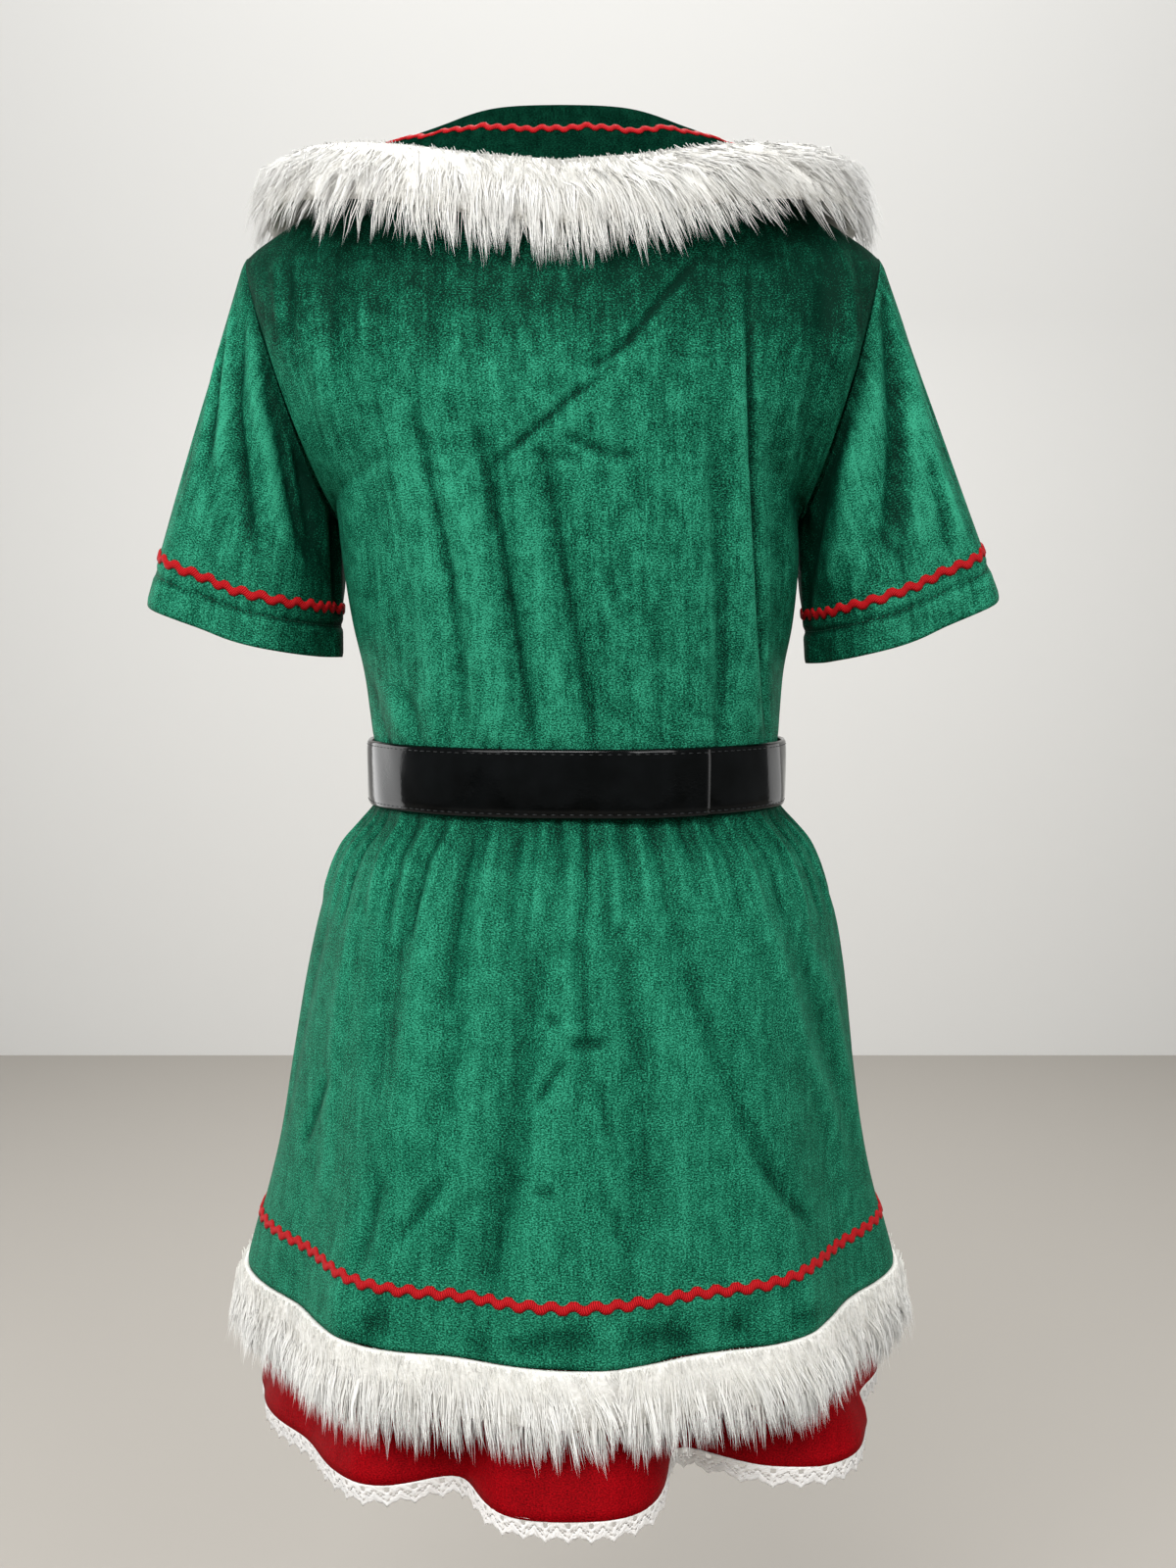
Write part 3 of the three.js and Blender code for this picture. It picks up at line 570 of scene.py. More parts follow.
# %% Bodice measurements
TORSO = [  # height, half width, depth at the middle of the back, and of the front
    (WAIST, 128.5, 97, 88),
    (-372, 129, 97.5, 88.5),
    (-350, 131, 99, 92),
    (-327, 133.5, 100, 96),
    (-300, 138.5, 102, 102),
    (-265, 142.5, 104.5, 110),
    (-230, 145, 107, 116),
    (-190, 150, 109, 117),
    (-150, 158, 109, 113),
    (-110, 170, 107.5, 106),
    (-60, 195, 105, 100),
    (10, 195, 102, 96),
]
NECK_SIDE = 70
SHOULDER_TIP, SHOULDER_DROP = 195, 73
UNDERARM_OUT, UNDERARM_DROP = 145, 232
ARMHOLE_DEPTH = 47
UNDERARM_SHARE = 0.4  # of the way up a panel, where its side seam ends and its armhole starts
BACK = {"way": 1, "depth": 2, "neck": 50, "neck_drop": 6, "hollow": -2.5, "reach": 0}
FRONT = {"way": -1, "depth": 3, "neck": 72, "neck_drop": 75, "hollow": 8, "reach": 13}
CHEST = {"out": 74, "height": -228, "width": 52, "tall": 58}  # where the front reaches out, by its own reach
print("the bodice is", -WAIST, "mm from neck to waist")


# %% The bodice's edges
def armhole(turn, hollow):
    """The armhole on the wearer's left: turn 0 is the shoulder tip, half a turn is the underarm."""
    c, s = np.cos(turn), np.abs(np.sin(turn))
    out = (SHOULDER_TIP + UNDERARM_OUT) / 2 - hollow * s + c * (SHOULDER_TIP - UNDERARM_OUT) / 2
    height = -(SHOULDER_DROP + UNDERARM_DROP) / 2 + c * (UNDERARM_DROP - SHOULDER_DROP) / 2
    return out, ARMHOLE_DEPTH * s, height


def neckline(panel, turn):
    """The neckline, from the middle of a panel to the shoulder seam a quarter turn away."""
    c = np.clip(np.cos(turn), 0, 1)
    return NECK_SIDE * np.sin(turn), panel["neck"] * c, -panel["neck_drop"] * c**1.25


print("the armhole is", UNDERARM_DROP - SHOULDER_DROP, "mm high and", 2 * ARMHOLE_DEPTH, "mm deep")

# %% The bodice's face
LEVEL_TO = -368  # the height up to which a panel's rows of corners lie level
ROW_RISE = 36  # and how much higher they lie at its middle where the armhole starts
ROUNDED = (170, 100)  # how far below its top a panel starts to round over, at its middle and at the arm
SQUARENESS = 0.85  # below 1, a level row is squarer than an ellipse


def bodice(panel, across, up):
    """A place on a bodice panel. across runs from -1 to 1, up from the waist to the neck and shoulders."""
    out = np.clip(np.abs(across), 0, 1)
    level = mix(WAIST + SEAM_GAP / 2, -UNDERARM_DROP, np.clip(up / UNDERARM_SHARE, 0, 1))
    lift = np.interp(level, (LEVEL_TO, -UNDERARM_DROP), (0, ROW_RISE))
    rise = np.clip((up - UNDERARM_SHARE) / (1 - UNDERARM_SHARE), 0, 1)
    hole_x, hole_y, hole_z = armhole(np.pi * (1 - rise), panel["hollow"])
    at_side = rise <= 0
    edge_x = np.where(at_side, read(TORSO, 1, level), hole_x)
    edge_y = np.where(at_side, 0, hole_y)
    edge_z = np.where(at_side, level, hole_z)
    neck_x, neck_y, neck_z = neckline(panel, np.clip(2 * out, 0, 1) * np.pi / 2)
    along = np.clip(2 * out - 1, 0, 1)
    top_x = np.where(out < 0.5, neck_x, mix(NECK_SIDE, SHOULDER_TIP, along))
    top_y = np.where(out < 0.5, neck_y, 0)
    top_z = np.where(out < 0.5, neck_z, -SHOULDER_DROP * along**1.14)
    edge_share = (edge_z - level) / (-SHOULDER_DROP - level)
    low = level + lift * (1 - out**2)
    z = mix(low, top_z, mix(rise, edge_share, out**2))
    towards_arm = smooth(out, 0.5, 1)
    near_top = np.clip(1 - (top_z - z) / mix(*ROUNDED, towards_arm), 0, 1)
    sloped = 1 - near_top**2
    rounding = mix(sloped, np.sqrt(sloped), towards_arm)
    x = edge_x * mix(np.sin(out * np.pi / 2), top_x / SHOULDER_TIP, near_top**2)
    power = mix(1, SQUARENESS, smooth(z, WAIST + 24, WAIST + 120))
    round_back = np.clip(np.cos(out * np.pi / 2), 0, 1) ** power
    depth = edge_y + (read(TORSO, panel["depth"], z) - edge_y) * round_back
    chest = panel["reach"] * bump(x - CHEST["out"], CHEST["width"]) * bump(z - CHEST["height"], CHEST["tall"])
    depth = depth + chest
    y = mix(mix(top_y, edge_y, towards_arm**2), depth, rounding)
    return np.stack([np.sign(across) * x + read(LEAN, 1, z), panel["way"] * (y + SEAM_GAP / 2), z], -1)


def smooth_back(across, up):
    """The back before it is creased, from the wearer's left to the right."""
    return bodice(BACK, 1 - 2 * across, up)


def smooth_front(across, up):
    """The front before it is creased, from the wearer's right to the left."""
    return bodice(FRONT, 2 * across - 1, up)


middle_of_back = smooth_back(np.full(2, 0.5), np.array([0.0, 1.0]))
print("the back's middle at the waist and neck, mm:", middle_of_back.round(1).tolist())

# %% Bodice creases
# Paths are (x, z) in mm, with x towards the wearer's left, behind and in front.
BACK_CREASES = [
    (-3.4, 5.0, 0.5, [(93, -140), (90, -180), (83, -213), (76, -245), (70, -272), (66, -320), (64, -352),
                      (63, -380)]),
    (1.8, 9.0, 0.0, [(104, -160), (97, -213), (88, -255), (82, -300), (80, -345), (80, -385)]),
    (-5.0, 9.5, 0.3, [(60, -160), (54, -193), (48, -214), (40, -262), (33, -308), (28, -339), (24, -372),
                      (22, -395)]),
    (2.6, 11.0, 0.0, [(78, -190), (62, -240), (53, -290), (47, -340), (44, -395)]),
    (-4.2, 9.5, 0.3, [(25, -175), (16, -215), (8, -262), (0, -300), (-8, -335), (-14, -375), (-16, -395)]),
    (2.4, 11.0, 0.0, [(34, -215), (24, -262), (18, -310), (10, -350), (6, -395)]),
    (-1.3, 2.6, 0.0, [(37, -112), (34, -130), (30, -147), (28, -163), (33, -180)]),
    (-3.0, 3.4, 0.6, [(-78, -84), (-61, -104), (-51, -115), (-42, -127), (-34, -138), (-24, -147),
                      (-13, -153), (3, -151)]),
    (1.4, 6.0, 0.0, [(-66, -122), (-50, -138), (-38, -152), (-26, -163)]),
    (-2.8, 3.2, 0.6, [(-24, -158), (-3, -169), (9, -179), (18, -187), (27, -194), (40, -204), (52, -214)]),
    (1.2, 5.0, 0.0, [(-14, -176), (4, -190), (20, -204)]),
    (-3.0, 3.4, 0.0, [(8, -190), (-4, -196), (-14, -200), (-24, -203), (-42, -204)]),
    (-2.0, 3.2, 0.0, [(24, -201), (6, -205), (-12, -206)]),
    (3.0, 7.5, -1.0, [(-97, -80), (-97, -127), (-98, -158), (-101, -202), (-104, -246), (-108, -295),
                      (-115, -362), (-118, -395)]),
    (-4.4, 3.0, 0.6, [(-101, -84), (-101, -127), (-102, -158), (-105, -202), (-108, -246), (-112, -295),
                      (-119, -362), (-121, -390)]),
    (-2.6, 2.6, 0.5, [(57, -170), (51, -204), (45, -234), (37, -278), (30, -320), (25, -352), (21, -385)]),
    (-2.2, 2.6, 0.5, [(20, -190), (11, -228), (3, -272), (-5, -312), (-12, -350), (-16, -385)]),
    (-3.8, 5.0, 0.4, [(-78, -165), (-82, -205), (-85, -240), (-88, -283), (-89, -320), (-89, -370),
                      (-89, -400)]),
    (-3.0, 8.0, 0.0, [(-114, -150), (-119, -190), (-125, -232), (-128, -282), (-131, -330), (-132, -390)]),
    (1.8, 4.0, 0.0, [(175, -78), (172, -98), (168, -128)]),
    (-1.6, 3.5, 0.0, [(166, -84), (163, -108), (160, -140)]),
    (1.8, 4.0, 0.0, [(157, -80), (157, -110), (153, -150)]),
    (2.0, 4.5, 0.0, [(147, -76), (149, -120), (146, -150), (142, -190)]),
    (-1.6, 4.5, 0.0, [(136, -76), (137, -120), (133, -165)]),
    (1.8, 5.0, 0.0, [(118, -78), (118, -120), (116, -165)]),
    (1.6, 5.0, 0.0, [(94, -100), (95, -135), (92, -170)]),
    (-1.4, 6.0, 0.0, [(80, -84), (80, -120), (78, -160)]),
    (1.3, 5.0, 0.0, [(66, -84), (64, -118), (61, -155)]),
    (-2.4, 4.0, 0.5, [(126, -325), (121, -350), (114, -372), (106, -400)]),
    (2.0, 5.0, 0.0, [(114, -326), (106, -352), (98, -380), (90, -405)]),
    (-2.2, 4.5, 0.0, [(100, -330), (92, -362), (84, -400)]),
    (-2.2, 4.0, 0.0, [(71, -335), (74, -358), (80, -400)]),
    (-1.0, 3.0, 0.0, [(-73, -285), (-80, -308), (-88, -330)]),
    (-1.0, 4.0, 0.0, [(-20, -262), (-27, -286), (-32, -305)]),
    (-1.6, 6.0, 0.0, [(-46, -290), (-52, -330), (-56, -372), (-58, -400)]),
    (3.2, 7.0, -0.4, [(-156, -62), (-161, -88), (-165, -118), (-164, -160)]),
    (-4.0, 8.0, 0.3, [(-150, -70), (-147, -123), (-143, -160), (-140, -200), (-139, -262)]),
    (-2.0, 9.0, 0.0, [(-20, -70), (-24, -92), (-30, -112)]),
    (-2.0, 8.0, 0.0, [(112, -205), (118, -250), (122, -300)]),
]
FRONT_CREASES = [
    (-3.6, 7.0, 0.4, [(-92, -120), (-98, -170), (-100, -215), (-92, -262), (-84, -310), (-78, -360),
                      (-74, -400)]),
    (2.2, 9.0, 0.0, [(-82, -270), (-72, -310), (-64, -350), (-58, -400)]),
    (-4.4, 9.0, 0.2, [(-52, -262), (-46, -300), (-38, -345), (-34, -402)]),
    (-3.0, 8.0, 0.0, [(-18, -230), (-16, -285), (-12, -340), (-10, -402)]),
    (2.0, 9.0, 0.0, [(4, -240), (2, -300), (2, -360), (2, -402)]),
    (-4.2, 8.5, -0.2, [(30, -240), (30, -290), (26, -340), (24, -402)]),
    (-3.4, 7.0, 0.3, [(88, -255), (78, -300), (68, -345), (62, -402)]),
    (2.2, 9.0, 0.0, [(104, -250), (96, -300), (88, -350), (84, -402)]),
    (-3.0, 6.0, 0.4, [(142, -215), (120, -226), (98, -236)]),
    (-2.6, 5.0, 0.4, [(-142, -214), (-124, -222), (-100, -238)]),
    (-2.0, 6.0, 0.0, [(-150, -150), (-128, -168), (-106, -196)]),
    (-2.2, 6.0, 0.0, [(150, -140), (132, -160), (112, -188)]),
    (1.8, 5.0, 0.0, [(-150, -80), (-148, -115), (-142, -160)]),
    (1.8, 5.0, 0.0, [(132, -80), (134, -118), (130, -160)]),
    (-2.0, 6.0, 0.0, [(148, -78), (150, -120), (146, -165)]),
    (-2.4, 10.0, 0.0, [(-66, -196), (0, -206), (66, -194)]),
    (-2.0, 4.0, 0.3, [(-118, -330), (-108, -362), (-98, -402)]),
    (-2.2, 4.5, 0.0, [(112, -335), (104, -366), (98, -402)]),
    (-1.4, 3.0, 0.0, [(-40, -180), (-22, -192), (-4, -186)]),
]
print("bodice creases:", len(BACK_CREASES), "behind and", len(FRONT_CREASES), "in front")

# %% [markdown]
# ### The bodice's panels
# Three more things press the cloth in: a sewn seam draws it in along its edge, the belt flattens whatever
# ridge runs under it, and the belt's top edge makes a shallow groove.

# %% Bodice panels
SEAM_DIP = 1.1  # mm that cloth draws in along a sewn seam
DIP_WIDTH = 0.012  # share of a panel's width over which it does
BELT_TOP = WAIST + 20.5
PRESSED = {"depth": 1.0, "middle": BELT_TOP - 6, "reach": 7}  # how the belt's top edge presses the cloth in


def bodice_push(face, creases):
    """How far the creases, the seams and the belt move each spot of a bodice panel."""

    def push(across, up):
        places = face(across, up)
        beside = np.minimum(across, 1 - across)
        seam = SEAM_DIP * bump(beside, DIP_WIDTH)
        height = places[:, 2]
        folds = pushed(places[:, [0, 2]], creases) * smooth(beside, 0.0, 0.03)
        flattened = np.maximum(folds, 0) * (1 - smooth(height, BELT_TOP, BELT_TOP + 9))
        pressed = PRESSED["depth"] * bump(height - PRESSED["middle"], PRESSED["reach"])
        return folds - flattened - pressed - seam

    return push


back_push = bodice_push(smooth_back, BACK_CREASES)
front_push = bodice_push(smooth_front, FRONT_CREASES)


def bodice_shade_and_crush(across, up, places):
    """Painted shade and crushed pile under the collar's fur, darker by the wearer's right arm, and lighter
    beside the middle.
    """
    x, z = places[:, 0], places[:, 2]
    by_the_arm = 0.16 * smooth(-x, 100, 150) * smooth(z, -330, -200)
    # near the top: painted shade of the collar fur's shadow, with crushed pile
    return 0.5 * smooth(z, -172, -96) + by_the_arm - 0.05 * bump(x - 60, 60)


bodice_back = lay("velvet_back", 190, 150, creased(smooth_back, back_push), green_velvet, VELVET_THICKNESS,
                  push=back_push, tone=bodice_shade_and_crush)
bodice_front = lay("velvet_front", 66, 74, creased(smooth_front, front_push), green_velvet, VELVET_THICKNESS,
                   push=front_push, tone=bodice_shade_and_crush)

# %% [markdown]
# ## The sleeves
# Each sleeve is one piece sewn to a tube, set into the dropped armhole. Its folds fan out from the
# shoulder, and its hem is turned up 20 mm and stitched, which draws a shallow groove round it.

# %% Sleeve creases
SLEEVE_CREASES = {  # paths are (degrees round the sleeve, mm up from the hem)
    "left": [
        (-3.6, 4.4, 0.3, [(20, 228), (69, 184), (97, 152), (124, 120), (144, 89), (156, 60)]),
        (-3.0, 4.0, 0.3, [(48, 204), (58, 168), (65, 135), (82, 98), (97, 59), (104, 38)]),
        (-3.0, 4.2, 0.2, [(66, 185), (77, 166), (90, 142), (109, 111), (122, 79), (132, 50)]),
        (-3.6, 5.2, 0.0, [(28, 186), (34, 163), (44, 130), (50, 95), (56, 70)]),
        (-2.4, 3.6, 0.0, [(66, 118), (72, 109), (80, 90), (87, 71), (92, 56)]),
        (-2.8, 4.0, 0.0, [(84, 156), (98, 133), (114, 102), (134, 60), (142, 40)]),
        (2.4, 5.0, 0.0, [(28, 205), (35, 182), (48, 148), (58, 115), (66, 80)]),
        (2.4, 5.0, 0.0, [(60, 200), (69, 178), (78, 145), (97, 109), (112, 70)]),
        (-2.6, 4.4, 0.0, [(112, 134), (123, 114), (142, 74), (164, 40)]),
        (-2.4, 6.0, 0.3, [(60, 205), (82, 170), (100, 145), (121, 109), (142, 60), (160, 30)]),
        (2.0, 6.0, 0.0, [(46, 200), (70, 160), (92, 120), (112, 70), (124, 30)]),
        (-2.2, 6.0, 0.0, [(34, 190), (56, 150), (76, 100), (90, 45)]),
        (-2.0, 5.0, 0.3, [(82, 180), (117, 128), (137, 75), (150, 36)]),
        (1.6, 5.0, 0.0, [(20, 180), (38, 130), (54, 80), (62, 36)]),
        (-1.8, 5.0, 0.0, [(12, 175), (22, 120), (32, 60)]),
        (-3.4, 7.0, 0.0, [(150, 150), (164, 100), (172, 50), (176, 10)]),
        (2.2, 8.0, 0.0, [(200, 130), (206, 80), (210, 20)]),
        (-3.0, 8.0, 0.0, [(238, 165), (244, 110), (248, 40)]),
        (2.0, 7.0, 0.0, [(268, 190), (268, 120), (266, 40)]),
        (-2.4, 7.0, 0.0, [(306, 200), (300, 130), (294, 45)]),
        (1.6, 6.0, 0.0, [(334, 195), (334, 120), (330, 50)]),
    ],
    "right": [
        (-3.8, 6.4, 0.2, [(326, 215), (316, 191), (304, 152), (290, 114), (275, 81), (260, 54), (252, 38)]),
        (3.0, 6.5, 0.0, [(262, 134), (252, 112), (242, 87), (228, 62), (220, 40)]),
        (2.4, 5.0, 0.0, [(310, 142), (304, 120), (296, 91), (289, 65), (284, 44)]),
        (-2.6, 4.4, 0.0, [(310, 104), (307, 86), (305, 58), (304, 40)]),
        (2.2, 4.6, 0.0, [(316, 110), (314, 91), (316, 62), (315, 40)]),
        (-3.2, 5.4, 0.2, [(262, 158), (248, 135), (224, 108), (198, 66), (190, 44)]),
        (-2.0, 3.0, 0.0, [(272, 60), (273, 50), (274, 36)]),
        (-3.6, 8.0, 0.3, [(300, 205), (280, 165), (260, 146), (235, 111), (205, 70), (188, 30)]),
        (2.8, 9.0, 0.0, [(292, 190), (279, 140), (262, 110), (246, 80), (228, 40)]),
        (-3.0, 9.0, 0.0, [(310, 185), (296, 130), (282, 85), (268, 42)]),
        (2.4, 8.0, 0.0, [(326, 180), (314, 120), (302, 70), (292, 40)]),
        (-1.8, 6.0, 0.0, [(344, 180), (338, 120), (330, 60)]),
        (1.4, 4.0, 0.0, [(250, 62), (246, 48), (240, 36)]),
        (-3.0, 7.0, 0.0, [(205, 140), (196, 100), (188, 50), (184, 8)]),
        (2.0, 8.0, 0.0, [(150, 130), (152, 80), (154, 20)]),
        (-2.8, 8.0, 0.0, [(122, 165), (116, 110), (110, 40)]),
        (2.0, 7.0, 0.0, [(92, 190), (92, 120), (94, 40)]),
        (-2.4, 7.0, 0.0, [(54, 200), (60, 130), (66, 45)]),
        (1.6, 6.0, 0.0, [(26, 195), (26, 120), (30, 50)]),
    ],
}
print("sleeve creases:", {side: len(rows) for side, rows in SLEEVE_CREASES.items()})

# %% [markdown]
# ### The sleeves' tubes
# A sleeve is a straight tube from its oval hem to the armhole, with soft folds that grow towards the hem.
# Both sleeves are worked out on the wearer's left, and the right one is then turned over to its own side.

# %% Sleeves
SLEEVES = {  # side, then how far out and how high the hem lies, outside and inside
    "left": (1, 269, -283, 148, -319),
    "right": (-1, 270, -279, 147, -323),
}
# Folds: degrees round, width in degrees and reach at the hem in mm
SLEEVE_FOLDS = [
    (38, 15, 4), (74, 14, -5), (112, 15, 5), (158, 14, -5), (226, 16, 4), (278, 14, -5), (322, 15, 4),
]
SLEEVE_HEM = {"half_depth": 50, "forward": 4, "dip": 7}
ARMHOLE_GAP = 0.2  # mm that the sleeve's seam stands off the bodice
HEM_STITCH = 20  # mm from a sleeve's hem to its stitching


def sleeve_line(name, across):
    """The straight line from a sleeve's hem to its armhole: its ends, its length, and which way it faces."""
    side, outer, outer_height, inner, inner_height = SLEEVES[name]
    turn = 2 * np.pi * across * side
    c, s = np.cos(turn), np.sin(turn)
    hole_x, hole_y, hole_z = armhole(turn, np.where(s < 0, FRONT["hollow"], BACK["hollow"]))
    hole = np.stack([hole_x + ARMHOLE_GAP, np.where(s < 0, -hole_y, hole_y), hole_z], -1)
    share = (1 + c) / 2
    hem_height = mix(inner_height, outer_height, share) - SLEEVE_HEM["dip"] * s * s
    hem_y = SLEEVE_HEM["half_depth"] * s - SLEEVE_HEM["forward"]
    hem = np.stack([mix(inner, outer, share), hem_y, hem_height], -1)
    return hem, hole, np.linalg.norm(hole - hem, axis=-1), np.stack([c, s, 0 * c], -1), np.degrees(turn) % 360


def smooth_sleeve(name):
    """A sleeve before it is creased."""

    def face(across, up):
        hem, hole, _, outward, degrees = sleeve_line(name, across)
        fold = sum(depth * bump(degrees - angle, width) for angle, width, depth in SLEEVE_FOLDS)
        place = mix(hem, hole, up[..., None]) + outward * (fold * (1 - up) ** 1.3)[..., None]
        place[..., 0] = place[..., 0] * SLEEVES[name][0] + read(LEAN, 1, place[..., 2])
        return place

    return face


def sleeve_folds(name, across, from_hem):
    """How far a sleeve's creases alone push each spot."""
    return pushed(np.stack([(across * 360) % 360, from_hem], -1), SLEEVE_CREASES[name], wraps=360)


def sleeve_push(name):
    """How far a sleeve's creases, its stitched hem and its seam move each spot."""

    def push(across, up):
        length = sleeve_line(name, across)[2]
        from_hem = up * length
        folds = sleeve_folds(name, across, from_hem) * smooth(1 - up, 0.0, 0.06)
        groove = 1.3 * bump(from_hem - HEM_STITCH, 2.2) + 0.5 * bump(from_hem, 1.5)
        return folds - groove - SEAM_DIP * bump(length - from_hem, 3.0)

    return push


def sleeve_painted_light(name):
    """Painted shade where a sleeve faces the body, by the armhole, in its folds and along its stitched
    groove, and a little painted highlight.
    """

    def tone(across, up, places):
        inwards = -np.cos(2 * np.pi * across)
        from_hem = up * sleeve_line(name, across)[2]
        # painted shade on the side that faces the body and by the armhole
        painted_shade = 0.36 * smooth(inwards, 0.1, 0.85) + 0.16 * smooth(up, 0.8, 1.0)
        # a painted highlight part way round from the outer side
        lit = 0.05 * bump(inwards + 0.6, 0.3)
        # painted shade in the folds' troughs and along the stitched groove
        in_folds = 0.06 * np.clip(-sleeve_folds(name, across, from_hem), -2, 4)
        return painted_shade - lit + 0.26 * bump(from_hem - HEM_STITCH, 1.8) + in_folds

    return tone


sleeve_faces, sleeve_pieces = {}, {}
for name in SLEEVES:
    push = sleeve_push(name)
    sleeve_faces[name] = creased(smooth_sleeve(name), push)
    sleeve_pieces[name] = lay(f"velvet_sleeve_{name}", 124, 72, sleeve_faces[name], green_velvet,
                              VELVET_THICKNESS, closed=True, push=push, tone=sleeve_painted_light(name))

# %% [markdown]
# ## The collar
# A wide collar stands at the neck, rolls over and lies out on the shoulders, where the fur along its edge
# holds it off the bodice. Its velvet is cut the other way up, so its pile points down, and its colours are a
# much darker copy of the green: painted shade where that pile faces away from the light.

# %% Collar
# Angle from the middle of the back, height of the roll, and how far out and how high the edge lies
COLLAR = [
    (0, 7, 93, -42),
    (30, 6.5, 100, -38),
    (60, 2.6, 122, -30),
    (90, 2, 147, -28),
    (120, 3.5, 136, -58),
    (150, 6, 124, -98),
    (180, 7, 118, -114),
]
COLLAR_CLOTH = 1.6
COLLAR_SEAM = 1.6  # mm that the collar's seam stands above the neckline
COLLAR_STAND = 0.15  # share of the collar that stands, from the seam to the roll
COLLAR_ROLL = 6  # mm that it leans outwards as it rolls over
COLLAR_ARCH = 1.5  # mm that it rises between the roll and its edge
COLLAR_FALL = 60  # mm from the roll to the edge, as the creases below count it
COLLAR_MM_PER_DEGREE = 2.1
COLLAR_CREASES = [  # paths are (mm round the collar from the middle of the back, mm down from the roll)
    (1.6, 9.0, 0.0, [(-95, 12), (-88, 30), (-84, 60)]),
    (-1.5, 9.0, 0.0, [(-62, 8), (-58, 30), (-56, 60)]),
    (1.2, 8.0, 0.0, [(-20, 12), (-20, 34), (-22, 60)]),
    (-1.4, 9.0, 0.0, [(24, 10), (26, 32), (28, 60)]),
    (1.5, 9.0, 0.0, [(60, 10), (66, 32), (70, 60)]),
    (-1.5, 10.0, 0.0, [(110, 10), (118, 32), (124, 60)]),
    (1.5, 10.0, 0.0, [(170, 10), (176, 32), (180, 60)]),
    (-1.5, 10.0, 0.0, [(-150, 10), (-156, 32), (-160, 60)]),
    (1.5, 10.0, 0.0, [(-215, 10), (-222, 32), (-226, 60)]),
    (-1.5, 10.0, 0.0, [(230, 10), (238, 32), (242, 60)]),
    (1.5, 10.0, 0.0, [(300, 10), (306, 32), (310, 60)]),
    (-1.5, 10.0, 0.0, [(-290, 10), (-296, 32), (-300, 60)]),
]


def outwards(degrees):
    """A level direction at an angle from the middle of the back; positive angles go to the wearer's left."""
    turn = np.radians(degrees)
    return np.stack([np.sin(turn), np.cos(turn), 0 * turn], -1)


def folded_angle(degrees):
    """How far an angle is from the middle of the back, either way."""
    return np.abs((degrees + 180) % 360 - 180)


def smooth_collar(across, up):
    """The collar before it is creased, round from the middle of the front, and from its edge to its seam."""
    degrees = 540 - 360 * across
    away = outwards(degrees)
    turn = np.arcsin(np.clip(np.abs(away[..., 0]), 0, 1))
    behind = away[..., 1] >= 0
    back_x, back_y, back_z = neckline(BACK, turn)
    _, front_y, front_z = neckline(FRONT, turn)
    neck_y, neck_z = np.where(behind, back_y, -front_y), np.where(behind, back_z, front_z)
    neck = np.stack([np.copysign(back_x, away[..., 0]), neck_y, neck_z], -1)
    fall = np.clip(1 - up / (1 - COLLAR_STAND), 0, 1)
    quarter = np.clip((1 - up) / COLLAR_STAND, 0, 1) * np.pi / 2
    angle = folded_angle(degrees)
    place = neck + away * (COLLAR_ROLL * (1 - np.cos(quarter)) - COLLAR_CLOTH - SEAM_GAP)[..., None]
    place[..., 2] += COLLAR_SEAM + read(COLLAR, 1, angle) * np.sin(quarter)
    edge = away * read(COLLAR, 2, angle)[..., None]
    edge[..., 2] = read(COLLAR, 3, angle)
    place = mix(place, edge, fall[..., None])
    place[..., 2] += COLLAR_ARCH * np.sin(np.pi * fall)
    place[..., 0] += read(LEAN, 1, place[..., 2])
    return place


def collar_push(across, up):
    """How far the collar's creases push each spot."""
    round_ = (180 - 360 * across) * COLLAR_MM_PER_DEGREE
    down = COLLAR_FALL * np.clip(1 - up / (1 - COLLAR_STAND), 0, 1)
    return pushed(np.stack([round_, down], -1), COLLAR_CREASES)


collar_face = creased(smooth_collar, collar_push)
collar = lay("velvet_collar", 224, 24, collar_face, shaded_collar_velvet, COLLAR_CLOTH, closed=True,
             push=collar_push)

# %% [markdown]
# ## The skirts
# Two skirts are gathered into the waist seam: green velvet over red. The belt presses the gathers flat,
# and they spring out under it as alternate ridges and troughs that widen and fade down the skirt. A few
# of them run on as long folds. The red skirt hangs fuller at its hem, in deep flutes.

# %% Skirt measurements
OVERSKIRT = [  # height, half width, depth behind and in front
    (-698, 205, 190, 180),
    (-671.5, 198, 185, 172),
    (-660.5, 194, 181, 168),
    (-620, 185, 168.5, 155.5),
    (-565, 177.5, 154.5, 141.5),
    (-510, 169.5, 140, 128),
    (-468, 160.5, 126, 113.5),
    (-438, 149, 112.5, 102),
    (-413, 129.2, 97.6, 88.6),
    (WAIST - SEAM_GAP / 2, 128.5, 97, 88),
]
UNDERSKIRT = [
    (-780, 203, 199, 190),
    (-748, 190, 179, 169),
    (-700, 184, 172, 160),
    (-560, 166, 142, 130),
    (-460, 144, 110, 99),
    (-413, 127.3, 95.7, 86.7),
    (WAIST - SEAM_GAP / 2, 126.6, 95.1, 86.1),
]
